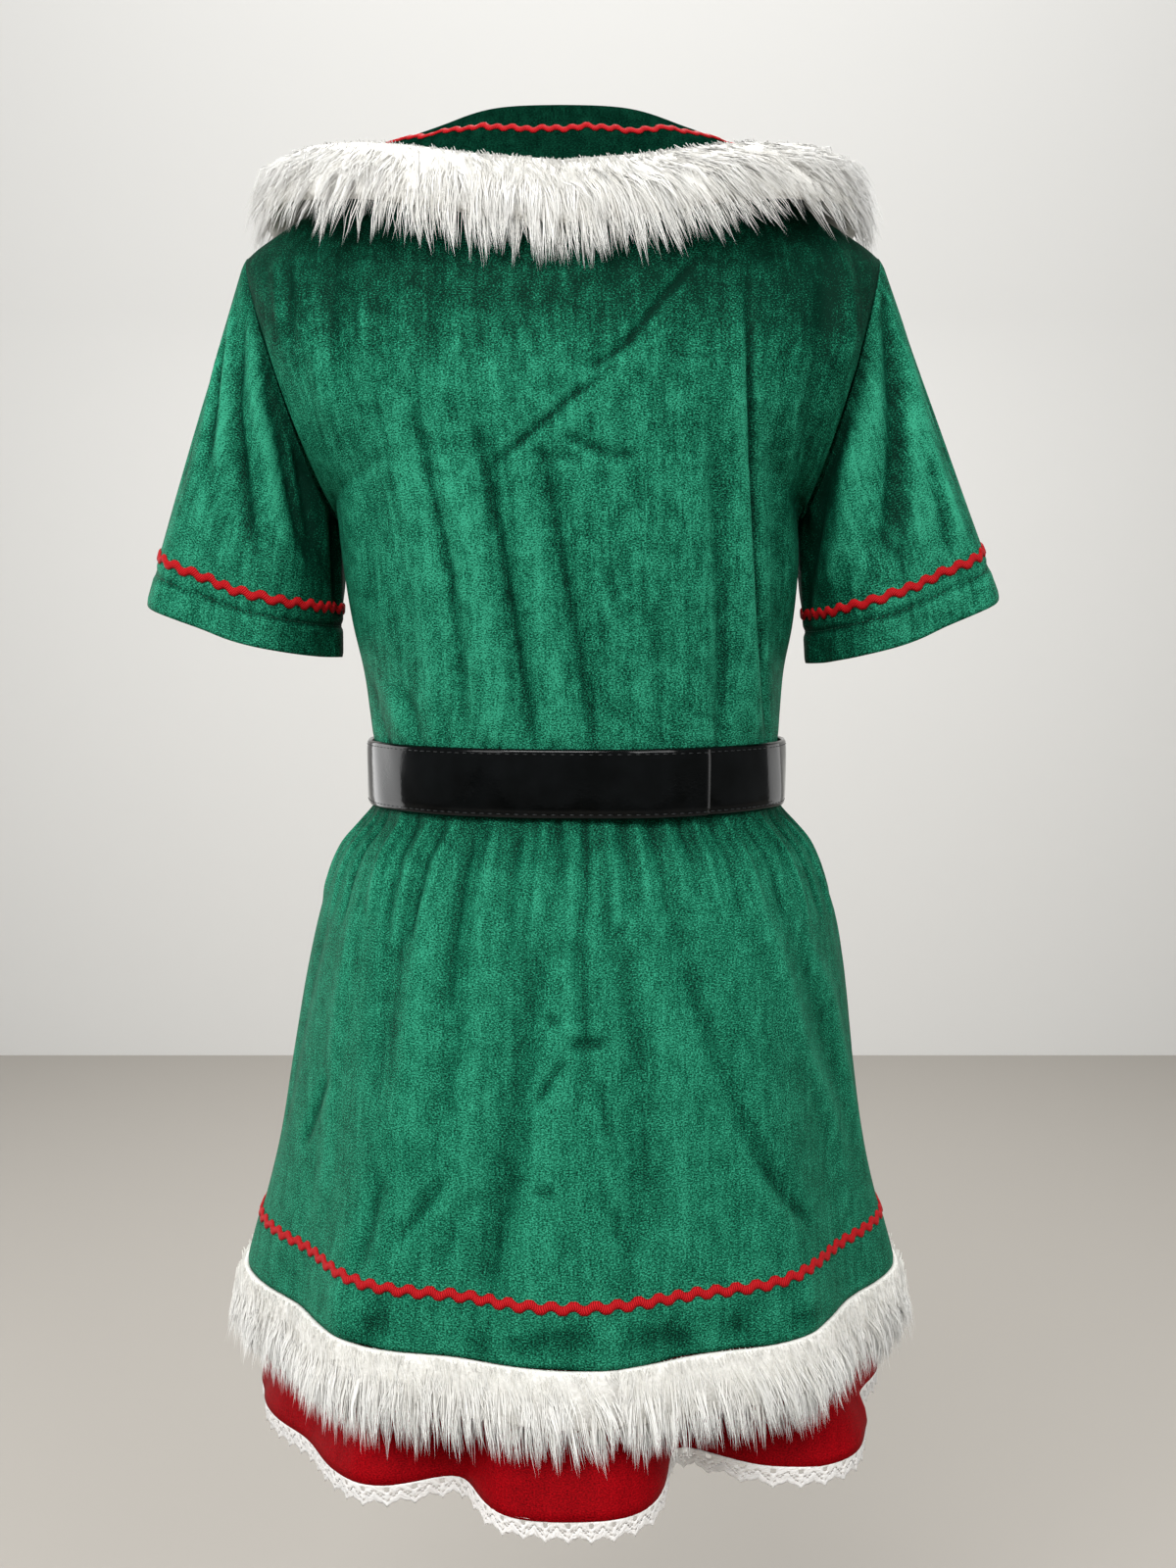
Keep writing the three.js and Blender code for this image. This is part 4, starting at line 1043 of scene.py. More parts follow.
# Folds: degrees anticlockwise from the wearer's left, width in degrees, reach at the hem, height it starts at
OVERSKIRT_FOLDS = [
    (14, 9, 5, -420),
    (36, 8, -6, -415),
    (55, 9, 5, -415),
    (72, 8, -5, -415),
    (93, 9, 3, -415),
    (111, 8, -5, -415),
    (128, 8, 5, -415),
    (147, 8, -6, -415),
    (166, 8, 5, -420),
    (200, 9, 5, -415),
    (222, 8, -6, -415),
    (243, 9, 5, -415),
    (264, 8, -5, -415),
    (286, 9, 6, -415),
    (309, 8, -6, -415),
    (332, 9, 5, -415),
]
UNDERSKIRT_FOLDS = [
    (36, 9, -9, -470),
    (68, 8, -34, -470),
    (117, 10, -62, -470),
    (142, 8, 9, -470),
    (163, 8, -12, -470),
    (197, 9, -20, -470),
    (228, 9, -34, -470),
    (262, 10, -38, -470),
    (297, 9, -36, -470),
    (330, 9, -24, -470),
]


def skirt(sections, folds, degrees, height, extra=0.0):
    """A place on a skirt, moved out by extra."""
    turn = np.radians(degrees)
    c, s = np.cos(turn), np.sin(turn)
    side = read(sections, 1, height)
    depth = np.where(s >= 0, read(sections, 2, height), read(sections, 3, height))
    moved = extra
    for angle, width, reach, start in folds:
        apart = np.abs((degrees - angle + 900) % 360 - 180)
        below = np.clip((start - height) / (start - sections[0][0]), 0, 1)
        moved = moved + reach * bump(apart, width) * below**1.2
    away_x, away_y = c / side, s / depth
    size = np.hypot(away_x, away_y)
    x = side * c + moved * away_x / size + read(LEAN, 1, height)
    return np.stack([x, depth * s + moved * away_y / size, height + 0 * turn], -1)


for name, sections, folds in (("green", OVERSKIRT, OVERSKIRT_FOLDS), ("red", UNDERSKIRT, UNDERSKIRT_FOLDS)):
    ring = skirt(sections, folds, np.linspace(0, 360, 361), np.full(361, float(sections[0][0])))
    print(name, "hem, mm round:", round(float(np.linalg.norm(np.diff(ring, axis=0), axis=1).sum())))

# %% [markdown]
# ### Gathers and long folds
# The cloth is bunched where the belt holds it, so ridge follows trough every few degrees. From some of
# them a long fold runs on down the skirt, bending as the cloth finds its way, and the hem band is
# puckered by the seam of its fur. All of these are given in degrees round the skirt and in heights.

# %% Gathers under the belt
UNDER_BELT = -404
# Depth and width, the degrees at which a gather leaves the belt and fades, and the height where it fades
GATHERS = [
    (2.6, 6, 3, 6, -455), (-2.4, 6, 10, 13, -450), (2.6, 6, 18, 22, -465), (-2.6, 6, 25, 30, -460),
    (2.8, 6, 33, 41, -450), (-2.8, 6, 41, 47, -455), (2.8, 5, 47, 50, -470), (-2.6, 5, 52, 54.5, -462),
    (3.0, 6, 57, 56.5, -458), (-3.2, 8, 63, 65, -500), (3.2, 6, 69, 70.5, -468), (-3.0, 7, 75, 76.5, -482),
    (2.8, 5, 82, 82, -462), (-2.0, 4, 85, 86, -440), (2.8, 5, 87.5, 90, -460), (-3.0, 5, 92.5, 92, -446),
    (2.8, 5, 97.5, 98.5, -452), (-2.2, 5, 101.5, 102, -446), (2.2, 4, 105, 105.5, -438),
    (-2.4, 5, 109, 109.5, -446), (2.4, 4, 113.5, 113.5, -440), (-2.2, 4, 118, 117, -440),
    (2.4, 4, 123, 121, -440), (-2.2, 5, 128, 127, -446),
    (2.6, 5, 134, 132, -446), (-2.4, 6, 141, 140, -452), (2.6, 6, 149, 150, -462), (-2.6, 6, 156, 158, -460),
    (2.6, 6, 164, 167, -466), (-2.4, 6, 171, 173, -455), (2.8, 6, 179, 180, -462), (-2.8, 6, 187, 186, -470),
    (2.8, 6, 196, 195, -460), (-2.6, 6, 204, 203, -466), (3.0, 7, 213, 213, -480), (-2.8, 6, 221, 222, -474),
    (2.8, 6, 229, 230, -462), (-2.6, 6, 236, 237, -470), (3.0, 6, 244, 245, -486), (-2.6, 6, 251, 251, -464),
    (2.6, 5, 258, 258, -470), (-3.0, 6, 265, 264, -490), (2.8, 6, 272, 272, -462), (-2.6, 6, 279, 280, -470),
    (3.0, 6, 286, 287, -484), (-2.6, 6, 293, 293, -462), (2.6, 6, 301, 300, -472), (-3.0, 6, 309, 308, -484),
    (2.8, 6, 317, 317, -462), (-2.6, 6, 325, 326, -470), (2.8, 6, 334, 335, -476), (-2.4, 6, 344, 345, -460),
    (2.2, 5, 352, 353, -452),
]
GATHER_DEPTH, GATHER_WIDTH = 0.85, 0.66  # shares of the depths and widths above


def gathers():
    """The gathers as creases: each leaves the belt, drifts aside and fades a little below its height."""
    for depth, width, start, end, height in GATHERS:
        bend = (mix(start, end, 0.45), mix(UNDER_BELT, height, 0.3))
        path = [(start, UNDER_BELT), bend, (end, height - 25)]
        yield GATHER_DEPTH * depth, GATHER_WIDTH * width, 0.0, path


print("gathers:", len(GATHERS))

# %% Long folds of the green skirt
LONG_FOLDS = [  # depth, width and skew, then (degrees, height) along the fold
    (-3.7, 11, 0.3, [(85, -440), (83.7, -461), (82, -495), (81, -525), (80, -552), (79, -582), (78, -611),
                     (75.7, -654), (74, -700)]),
    (2.2, 10, 0.0, [(89, -470), (87, -520), (85.5, -580), (83.5, -640), (82, -690)]),
    (-2.8, 4.5, 0.5, [(89, -428), (91, -479), (92, -506), (92.7, -528), (92.3, -548), (90.7, -572)]),
    (-2.7, 9, 0.3, [(97, -424), (98.7, -479), (100, -506), (101.7, -532), (102.7, -561), (103, -586),
                    (101.7, -619), (100, -651), (99, -690)]),
    (1.9, 10, 0.0, [(105, -470), (107, -520), (109, -570), (110, -620), (110, -670)]),
    (-2.9, 7.5, 0.5, [(108, -430), (112.3, -483), (114.7, -509), (117.7, -533), (120, -554), (123.7, -581),
                      (128.7, -607), (134.3, -632), (143, -664)]),
    (2.6, 9, -0.6, [(132, -412), (132, -466), (136.3, -503), (141.7, -548), (150.7, -594), (156, -645)]),
    (-1.9, 9, 0.0, [(141, -440), (146, -500), (152, -550), (160, -600)]),
    (2.3, 10, -0.4, [(139.3, -424), (145.3, -482), (155.3, -525), (160, -585), (166, -650)]),
    (-2.9, 13, 0.0, [(49, -412), (52, -453), (50.7, -494), (51, -535), (52, -580)]),
    (2.2, 11, 0.0, [(57, -440), (58, -500), (58, -560), (59, -610)]),
    (-2.4, 9, 0.2, [(61.7, -415), (65.3, -451), (64.7, -470), (64, -498), (63, -530)]),
    (-2.0, 8, 0.2, [(67.8, -510), (66.3, -550), (65, -585)]),
    (1.9, 9, 0.0, [(71, -470), (71, -530), (70.5, -590), (69, -650)]),
    (-2.4, 5, 0.4, [(35, -560), (31, -588), (27, -616)]),
    (-2.8, 6, 0.3, [(55.5, -600), (53.7, -638), (52, -672)]),
    (-2.8, 5, 0.4, [(68, -602), (63.3, -624), (59, -646)]),
    (-2.2, 6, 0.2, [(74, -606), (69.7, -631), (66.5, -660)]),
    (-2.6, 7, 0.2, [(81, -590), (77.3, -622), (75, -668)]),
    (-3.4, 3.8, 0.3, [(89, -538), (86, -551), (83.6, -566)]),
    (-3.6, 3.2, 0.0, [(88.6, -531), (92.5, -530.5), (96.4, -531)]),
    (-2.6, 3.2, 0.0, [(84.4, -517), (86.4, -518.5), (88.2, -518)]),
    (-2.6, 3.4, 0.0, [(83, -608), (85.4, -609), (87.6, -608)]),
    (-2.2, 3.2, 0.2, [(95, -546), (96.3, -573), (96.8, -584)]),
    (-2.2, 3.2, 0.0, [(97.6, -615), (98.4, -636)]),
    (-1.6, 4.5, 0.4, [(123, -590), (131.3, -622), (139.5, -648)]),
    (-1.9, 8, 0.0, [(22, -440), (20, -500), (17, -560), (14, -640)]),
    (2.0, 9, 0.0, [(34, -440), (34, -520), (36, -600), (38, -680)]),
    (-2.2, 8, 0.3, [(6, -450), (3, -530), (0, -620), (-2, -690)]),
    (2.2, 9, 0.0, [(172, -430), (176, -510), (180, -600), (182, -690)]),
    (-2.4, 9, 0.3, [(188, -440), (191, -520), (194, -600), (196, -690)]),
    (2.3, 10, 0.0, [(207, -440), (208, -520), (210, -610), (212, -690)]),
    (-3.2, 10, 0.3, [(220, -440), (223, -520), (226, -600), (228, -690)]),
    (2.2, 9, 0.0, [(236, -450), (238, -530), (240, -620)]),
    (-2.6, 8, -0.3, [(251, -440), (252, -510), (256, -580), (260, -650), (262, -700)]),
    (2.0, 9, 0.0, [(268, -470), (270, -550), (273, -640)]),
    (-3.3, 10, 0.2, [(283, -440), (284, -510), (282, -590), (280, -680)]),
    (2.3, 9, 0.0, [(299, -440), (301, -530), (304, -620)]),
    (-2.7, 9, -0.3, [(313, -440), (316, -520), (320, -600), (324, -690)]),
    (2.2, 10, 0.0, [(330, -440), (332, -530), (334, -630)]),
    (-2.4, 9, 0.0, [(345, -440), (347, -530), (350, -620), (352, -690)]),
    (-2.2, 4, 0.3, [(262, -500), (258, -520), (253, -545)]),
    (-2.0, 4, 0.3, [(296, -590), (290, -612), (284, -640)]),
    (-1.4, 3, 0.0, [(234, -560), (238, -566), (243, -564)]),
    (1.7, 9, 0.0, [(47, -668), (50, -684), (52, -704)]),
    (-1.9, 8, 0.0, [(59, -664), (58, -682), (57, -706)]),
    (-1.6, 9, 0.0, [(87, -674), (88, -686), (88, -706)]),
    (1.6, 8, 0.0, [(95, -672), (96, -686), (97, -706)]),
    (-1.7, 8, 0.0, [(106, -672), (107, -686), (108, -706)]),
    (-1.9, 8, 0.0, [(122, -668), (119, -686), (117, -706)]),
    (1.7, 9, 0.0, [(133, -664), (132, -684), (131, -706)]),
]
print("long folds:", len(LONG_FOLDS))

# %% Puckers of the red skirt and patches of the green hem
RED_HEIGHTS = (-690, -740, -800)
RED_FOLDS = [  # depth and width, then the degrees at each of those heights
    (2.0, 9, (50, 53, 54)),
    (-1.8, 8, (80, 82, 84)),
    (1.7, 9, (94, 95, 96)),
    (-1.8, 8, (129, 130, 131)),
    (1.8, 8, (152, 153, 154)),
    (-1.8, 9, (16, 15, 14)),
    (1.8, 9, (181, 182, 183)),
    (-1.8, 9, (212, 212, 212)),
    (1.8, 9, (246, 245, 244)),
    (-1.7, 9, (280, 280, 280)),
    (1.8, 9, (314, 314, 314)),
    (-1.7, 9, (346, 347, 348)),
]
HEM_PATCHES = [  # degrees, height and width in degrees of each dark patch in the hem band
    (56.3, -685, 3), (51.5, -694, 2.5), (75, -690, 2), (83.7, -686, 3), (90.5, -681, 3), (103, -684, 4),
    (109, -688, 3), (119.7, -683, 2), (133, -688, 3), (-40, -686, 4), (-64, -682, 3), (-92, -688, 4),
    (-130, -684, 3),
]
MM_PER_DEGREE = 3.0  # round a skirt of middling width


def on_skirt(creases):
    """Paths in degrees and height, turned to mm round the skirt and height."""
    return [
        (depth, width, skew, [(angle * MM_PER_DEGREE, height) for angle, height in path])
        for depth, width, skew, path in creases
    ]


GREEN_CREASES = on_skirt([*gathers(), *LONG_FOLDS])
RED_CREASES = on_skirt([(depth, width, 0.0, zip(angles, RED_HEIGHTS)) for depth, width, angles in RED_FOLDS])
print("creases:", len(GREEN_CREASES), "in the green skirt and", len(RED_CREASES), "in the red one")

# %% [markdown]
# ### The skirts' panels
# Each skirt is a back and a front panel. The red one follows the green one's troughs, which press it in,
# as far down as the fur hides it, and below that it has its own puckers. Its rows of corners are closest
# in the part that shows.


# %% Skirt panels
def green_height(up):
    """The height at a share of the way up the green skirt."""
    return mix(OVERSKIRT[0][0], OVERSKIRT[-1][0], up)


def red_height(up):
    """The height at a share of the way up the red skirt, two thirds of whose rows lie below the green hem."""
    return np.interp(up, (0, 0.66, 1), (UNDERSKIRT[0][0], -655, UNDERSKIRT[-1][0]))


def pushed_round(degrees, height, creases):
    """How far creases push a skirt at angles and heights."""
    return pushed(np.stack([degrees * MM_PER_DEGREE, height], -1), creases, wraps=360 * MM_PER_DEGREE)


def green_push_at(degrees, height):
    """How far the green skirt's creases and its hem's seam move it."""
    return pushed_round(degrees, height, GREEN_CREASES) - 0.9 * bump(height - OVERSKIRT[0][0], 2.2)


def red_push_at(degrees, height):
    """How far the red skirt's own creases, its turned hem and the green skirt over it move it."""
    above_hem = height - UNDERSKIRT[0][0]
    hem = 0.8 * bump(above_hem - 7, 1.6) + 0.8 * bump(above_hem, 1.6)
    own = pushed_round(degrees, height, RED_CREASES) - hem
    # The green skirt's troughs press the red one in, and its gathers at the waist press it in further
    pressed = np.minimum(green_push_at(degrees, height), 0) - 1
    pressed -= 1.2 * smooth(height, -432, -408)
    return mix(own, pressed, smooth(height, -690, -660))


def skirt_face(sections, folds, height_at, push_at, start, sweep, apart=0.0):
    """A creased skirt from an angle through a sweep, moved towards the back by apart, and its push."""

    def flat(across, up):
        place = skirt(sections, folds, start + sweep * across, height_at(up))
        place[..., 1] += apart
        return place

    def push(across, up):
        return push_at((start + sweep * across) % 360, height_at(up))

    return creased(flat, push), push


def skirt_shade_and_crush(across, up, places):
    """Painted shade and crushed pile under the belt, darker towards the wearer's right, and patches crushed
    in the hem band.
    """
    degrees = np.degrees(np.arctan2(places[:, 1], places[:, 0]))
    z = places[:, 2]
    # painted shade, with crushed pile, under the belt; darker towards the wearer's right
    dark = 0.3 * smooth(z, -448, -412) + 0.05 * smooth(-places[:, 0], 60, 170)
    for angle, height, wide in HEM_PATCHES:
        dark += 0.34 * bump((degrees - angle) / wide, 1) * bump(z - height, 6.5)
    return dark


GREEN_SKIRT = (OVERSKIRT, OVERSKIRT_FOLDS, green_height, green_push_at)
RED_SKIRT = (UNDERSKIRT, UNDERSKIRT_FOLDS, red_height, red_push_at)
SKIRTS = {  # form, velvet, its painted shade and crushed pile, and the grids of its back and its front
    "overskirt": (GREEN_SKIRT, skirt_velvet, skirt_shade_and_crush, (216, 100), (104, 52)),
    "underskirt": (RED_SKIRT, red_velvet, None, (140, 42), (96, 30)),
}
APART = 0.03  # mm that each panel stands back from its side seams
skirt_pieces = {}
for name, (form, material, tone, fine, coarse) in SKIRTS.items():
    for panel, start, apart, grid in (("back", 0, APART, fine), ("front", 180, -APART, coarse)):
        face, push = skirt_face(*form, start, 180, apart)
        skirt_pieces[name, panel] = lay(f"velvet_{name}_{panel}", *grid, face, material, VELVET_THICKNESS,
                                        push=push, tone=tone)
green_ring, _ = skirt_face(*GREEN_SKIRT, 0, 360)

# %% [markdown]
# ## Ric-rac
# The braid is laid on the creased velvet itself: its middle runs along a line, it sways from side to side
# of it about once in 11 mm, and it is crowned, so that its edges meet the cloth. A hand can't sew it
# quite straight, so its middle wanders by a fraction of a millimetre.

# %% Laying ric-rac
WAVE = {"period": 11.3, "sway": 1.35, "width": 5.0, "crown": 0.9, "lift": 0.45, "cloth": 0.7}
SLEEVE_BRAID = 31  # mm up from a sleeve's hem
HEM_BRAID = -666  # height of the hem's braid
COLLAR_BRAID = 0.475  # share of the way from the collar's roll to its edge
BRAID_STEP = 1.15  # mm of braid to each column of its grid
BRAID_LENGTHS = {"collar": 690, "sleeve": 360, "hem": 1180}  # mm, about


def ricrac(name, face, middle, length):
    """Braid round a face. middle(across) is the share of the way up at which its middle runs."""
    waves = round(length / WAVE["period"])

    def place(across, up):
        centre = middle(across)
        step = 1e-3
        rise = face(across, centre + step) - face(across, centre - step)
        per_share = np.linalg.norm(rise, axis=-1) / (2 * step)
        wander = 0.3 * np.sin(2 * np.pi * 3 * across) + 0.25 * np.sin(2 * np.pi * 11 * across + 1)
        turn = 2 * np.pi * waves * across
        sway = WAVE["sway"] * (np.sin(turn) + 0.12 * np.sin(3 * turn))
        half = WAVE["width"] / 2 * (1 + 0.12 * np.abs(np.cos(turn)))
        at = centre + (wander + sway + (2 * up - 1) * half) / per_share
        height = WAVE["lift"] + WAVE["crown"] * np.sqrt(np.clip(1 - (2 * up - 1) ** 2, 0, 1))
        return face(across, at) + facing(face, across, at) * height[..., None]

    return lay(name, round(length / BRAID_STEP), 4, place, ricrac_red, WAVE["cloth"], closed=True)


def constant(value):
    """A middle that runs at one share of the way up."""
    return lambda across: np.full(np.shape(across), value)


def sleeve_middle(name):
    """A middle that runs at one length from a sleeve's hem."""
    return lambda across: SLEEVE_BRAID / sleeve_line(name, across)[2]


hem_share = (HEM_BRAID - OVERSKIRT[0][0]) / (OVERSKIRT[-1][0] - OVERSKIRT[0][0])
collar_share = (1 - COLLAR_BRAID) * (1 - COLLAR_STAND)
braids = {"collar": ricrac("ricrac_collar", collar_face, constant(collar_share), BRAID_LENGTHS["collar"])}
for name, face in sleeve_faces.items():
    braids[f"sleeve_{name}"] = ricrac(f"ricrac_sleeve_{name}", face, sleeve_middle(name),
                                      BRAID_LENGTHS["sleeve"])
braids["hem"] = ricrac("ricrac_hem", green_ring, constant(hem_share), BRAID_LENGTHS["hem"])
print("braids:", sorted(braids))

# %% [markdown]
# ## Copies
# Strands of fur and stitches are one small shape repeated thousands of times. The shape is modelled once
# with bmesh operators, and its copies are placed together in one mesh with arrays, which keeps the scene
# light.


# %% Copies of a shape
def template(made):
    """A small shape's corners and faces, ready to be copied."""
    made.verts.index_update()
    corners = np.array([vert.co[:] for vert in made.verts])
    faces = [[vert.index for vert in face.verts] for face in made.faces]
    made.free()
    return corners, faces


def copies(name, places, faces, material, shades=None, along=None, outward=None):
    """One mesh of many copies. places holds every copy's corners in mm; shades and along make their UV map.

    outward gives the way that each corner faces, where that isn't its own shape's.
    """
    count, corners = places.shape[:2]
    mesh = bpy.data.meshes.new(name)
    every = [[i + copy * corners for i in face] for copy in range(count) for face in faces]
    mesh.from_pydata((places.reshape(-1, 3) * MM).tolist(), [], every)
    mesh.shade_smooth()
    mesh.materials.append(material)
    if outward is not None:
        mesh.normals_split_custom_set_from_vertices(outward.reshape(-1, 3).tolist())
    if shades is not None:
        loops = np.concatenate([np.array(face) for face in faces])
        pairs = np.stack(np.broadcast_arrays(shades[:, None], along[loops][None]), -1)
        mesh.uv_layers.new(name="strand").data.foreach_set("uv", pairs.reshape(-1).astype(np.float32))
    piece = bpy.data.objects.new(name, mesh)
    scene.collection.objects.link(piece)
    print(f"{name}: {count} copies, {sum(len(face) - 2 for face in faces) * count} triangles")
    return piece


# A strand is a thin cone of three sides, cut once across and a little thicker there
strand_maker = bmesh.new()
bmesh.ops.create_cone(strand_maker, cap_ends=True, segments=3, radius1=1, radius2=0, depth=1)
bmesh.ops.translate(strand_maker, verts=strand_maker.verts, vec=(0, 0, 0.5))
everything = strand_maker.verts[:] + strand_maker.edges[:] + strand_maker.faces[:]
bmesh.ops.bisect_plane(strand_maker, geom=everything, dist=1e-6, plane_co=(0, 0, 0.5), plane_no=(0, 0, 1))
waist_ring = [vert for vert in strand_maker.verts if abs(vert.co.z - 0.5) < 0.01]
bmesh.ops.scale(strand_maker, verts=waist_ring, vec=(1.35, 1.35, 1))
STRAND, STRAND_FACES = template(strand_maker)
print("a strand has", len(STRAND), "corners and", len(STRAND_FACES), "faces")

# %% [markdown]
# ## Fur
# Each strip of fur is a ground cloth and its pile. The pile stands out from the ground, is combed along
# the strip, and falls. Fibres gather into locks whose tips come to a point, so the strands are made lock
# by lock: each lock has a root, a middle and a tip, and its strands start apart and end close together.

# %% Ground cloth of the fur
CORNERS = 8  # rows of each table below, round a strip
COLLAR_GROUND = [  # out and up from the collar's edge, behind and at the sides, round the ground of the fur
    (1, -5, 1, -9),
    (1, 0, 1, 2),
    (3, 1, 7, 9),
    (6, -4, 19, 10),
    (8, -16, 31, 2),
    (8, -28, 37, -12),
    (6, -34, 37, -24),
    (4, -30, 20, -18),
]
HEM_GROUND = [(0.5, -1), (0.5, 1.5), (8, 4), (20, 5), (30, 3), (33, 1), (30, -1), (14, -2)]  # drop and out
GROUND_THICKNESS = 0.9


def around(table, corner):
    """The columns of a closed table at a corner number, which may lie between two."""
    rows = np.array(table, float)
    low = np.floor(corner).astype(int)
    share = (corner - low)[..., None]
    return np.moveaxis(mix(rows[low % len(rows)], rows[(low + 1) % len(rows)], share), -1, 0)


def collar_ground(degrees, corner):
    """A place on the ground of the collar's fur, which lies round the collar's edge."""
    out, rise, side_out, side_rise = around(COLLAR_GROUND, corner)
    angle = folded_angle(degrees)
    sideways = np.sin(np.radians(degrees)) ** 2
    place = outwards(degrees) * (read(COLLAR, 2, angle) + mix(out, side_out, sideways))[..., None]
    place[..., 2] = read(COLLAR, 3, angle) + mix(rise, side_rise, sideways)
    place[..., 0] += read(LEAN, 1, place[..., 2])
    return place


def hem_ground(degrees, corner):
    """A place on the ground of the hem's fur, which hangs from the green hem."""
    drop, out = around(HEM_GROUND, corner)
    place = skirt(OVERSKIRT, OVERSKIRT_FOLDS, degrees, np.full(np.shape(degrees), OVERSKIRT[0][0]), out)
    place[..., 2] -= drop
    return place


def middle_of(ground, angle):
    """The middle of a strip at each angle."""
    return sum(ground(angle, np.full(len(angle), k + 0.5)) for k in range(CORNERS)) / CORNERS


def fur_ground(name, ground, start, end, columns):
    """The ground cloth of a strip, folded all round it and open at the strip's two ends."""
    made = bmesh.new()
    bmesh.ops.create_grid(made, x_segments=columns, y_segments=2 * CORNERS, size=1)
    across, up = (np.array([vert.co[:2] for vert in made.verts]).T + 1) / 2
    for vert, place in zip(made.verts, ground(mix(start, end, across), CORNERS * up) * MM):
        vert.co = place
    bmesh.ops.remove_doubles(made, verts=made.verts, dist=1e-6)
    bmesh.ops.recalc_face_normals(made, faces=made.faces)
    angles, corners = np.linspace(start, end, 200), np.linspace(0, CORNERS, 200)
    length = np.linalg.norm(np.diff(middle_of(ground, angles), axis=0), axis=1).sum()
    rings = [np.diff(ground(np.full(200, angle), corners), axis=0) for angle in angles[::5]]
    girth = np.mean([np.linalg.norm(ring, axis=1).sum() for ring in rings])
    area = sum(square.calc_area() for square in made.faces)
    print(f"{name}: {length:.0f} mm long, {girth:.0f} mm all round, {area * 1e4:.0f} cm2")
    return finished(name, made, fur_backing, GROUND_THICKNESS)


print("the collar's fur starts at", collar_ground(np.array([0.0]), np.array([0.0])).round(1).tolist(), "mm")

# %% [markdown]
# ### The pile
# Each lock gets its own angle, lean and length by a seeded random choice, so the fur comes out the same
# every time. How the pile is combed is given at angles round the strip, and where two strips meet
# the pile thins.

# %% Pile of the fur
# How the pile is combed along the strip at each angle, from 0 for straight down to 1 for quite sideways
COLLAR_COMB = [
    (-180, 0), (-125, -0.1), (-90, -0.6), (-65, -1.0), (-45, -0.9), (-28, -0.5), (-8, -0.25), (11.2, -0.2),
    (11.3, 0.1), (20, -0.25), (32, -0.3), (48, 0.0), (85, 0.45), (120, 0.1), (180, 0),
]
HEM_COMB = [
    (-90, 0), (0, -0.1), (35, -0.12), (60, 0.04), (85, 0.16), (97.4, 0.25), (97.6, 0.0), (105, 0.12),
    (125, 0.3), (150, 0.35), (190, 0.15), (270, 0),
]
ROOT_SPREAD, KNEE_SPREAD, TIP_SPREAD = 1.9, 1.6, 0.5  # mm that a lock's strands stand apart
KNEE_STRAY, TIP_STRAY = 0.3, 0.45  # mm that each strays by chance
STRAND_GIRTH = 0.27


def lock_paths(chance, ground, comb, start, end, locks, lengths, lift, ruffle, exposed, join):
    """Each lock's root, middle and tip, the way it stands from the ground, and the way along the strip.

    lengths are at the first and last exposed corners, and lift is how much the pile stands up.
    """
    angle = mix(start, end, chance.random(locks))
    corner = mix(*exposed, chance.random(locks) ** 1.7)
    root = ground(angle, corner)
    stands = unit(root - middle_of(ground, angle))
    sideways = unit(ground(angle + 0.5, corner) - ground(angle - 0.5, corner))
    lean = np.interp(angle, *zip(*comb)) + chance.normal(0, ruffle, locks)
    down = np.array([0, 0, -1.0]) + sideways * lean[:, None] + 0.15 * stands
    falls = unit(down + chance.normal(0, ruffle / 2, (locks, 3)))
    share = (corner - exposed[0]) / (exposed[1] - exposed[0])
    parted = smooth(np.abs(angle - join), 0.3, 2.2)  # the pile thins out where two strips meet
    uneven = chance.uniform(0.74, 1.2, locks)
    reach = (mix(*lengths, share) * uneven * mix(0.35, 1, np.maximum(parted, 1 - 2 * share)))[:, None]
    # The pile lies flat by the seam, and sticks out beneath and where the strip turns
    flare = (lift * (0.35 + 0.85 * share) * (1 + 0.9 * bump(np.abs(angle) - 88, 26)))[:, None]
    knee = root + 0.45 * reach * unit(flare * stands + falls)
    tip = knee + 0.55 * reach * unit(0.3 * flare * stands + falls + (0, 0, -0.2))
    return root, knee, tip, stands, sideways


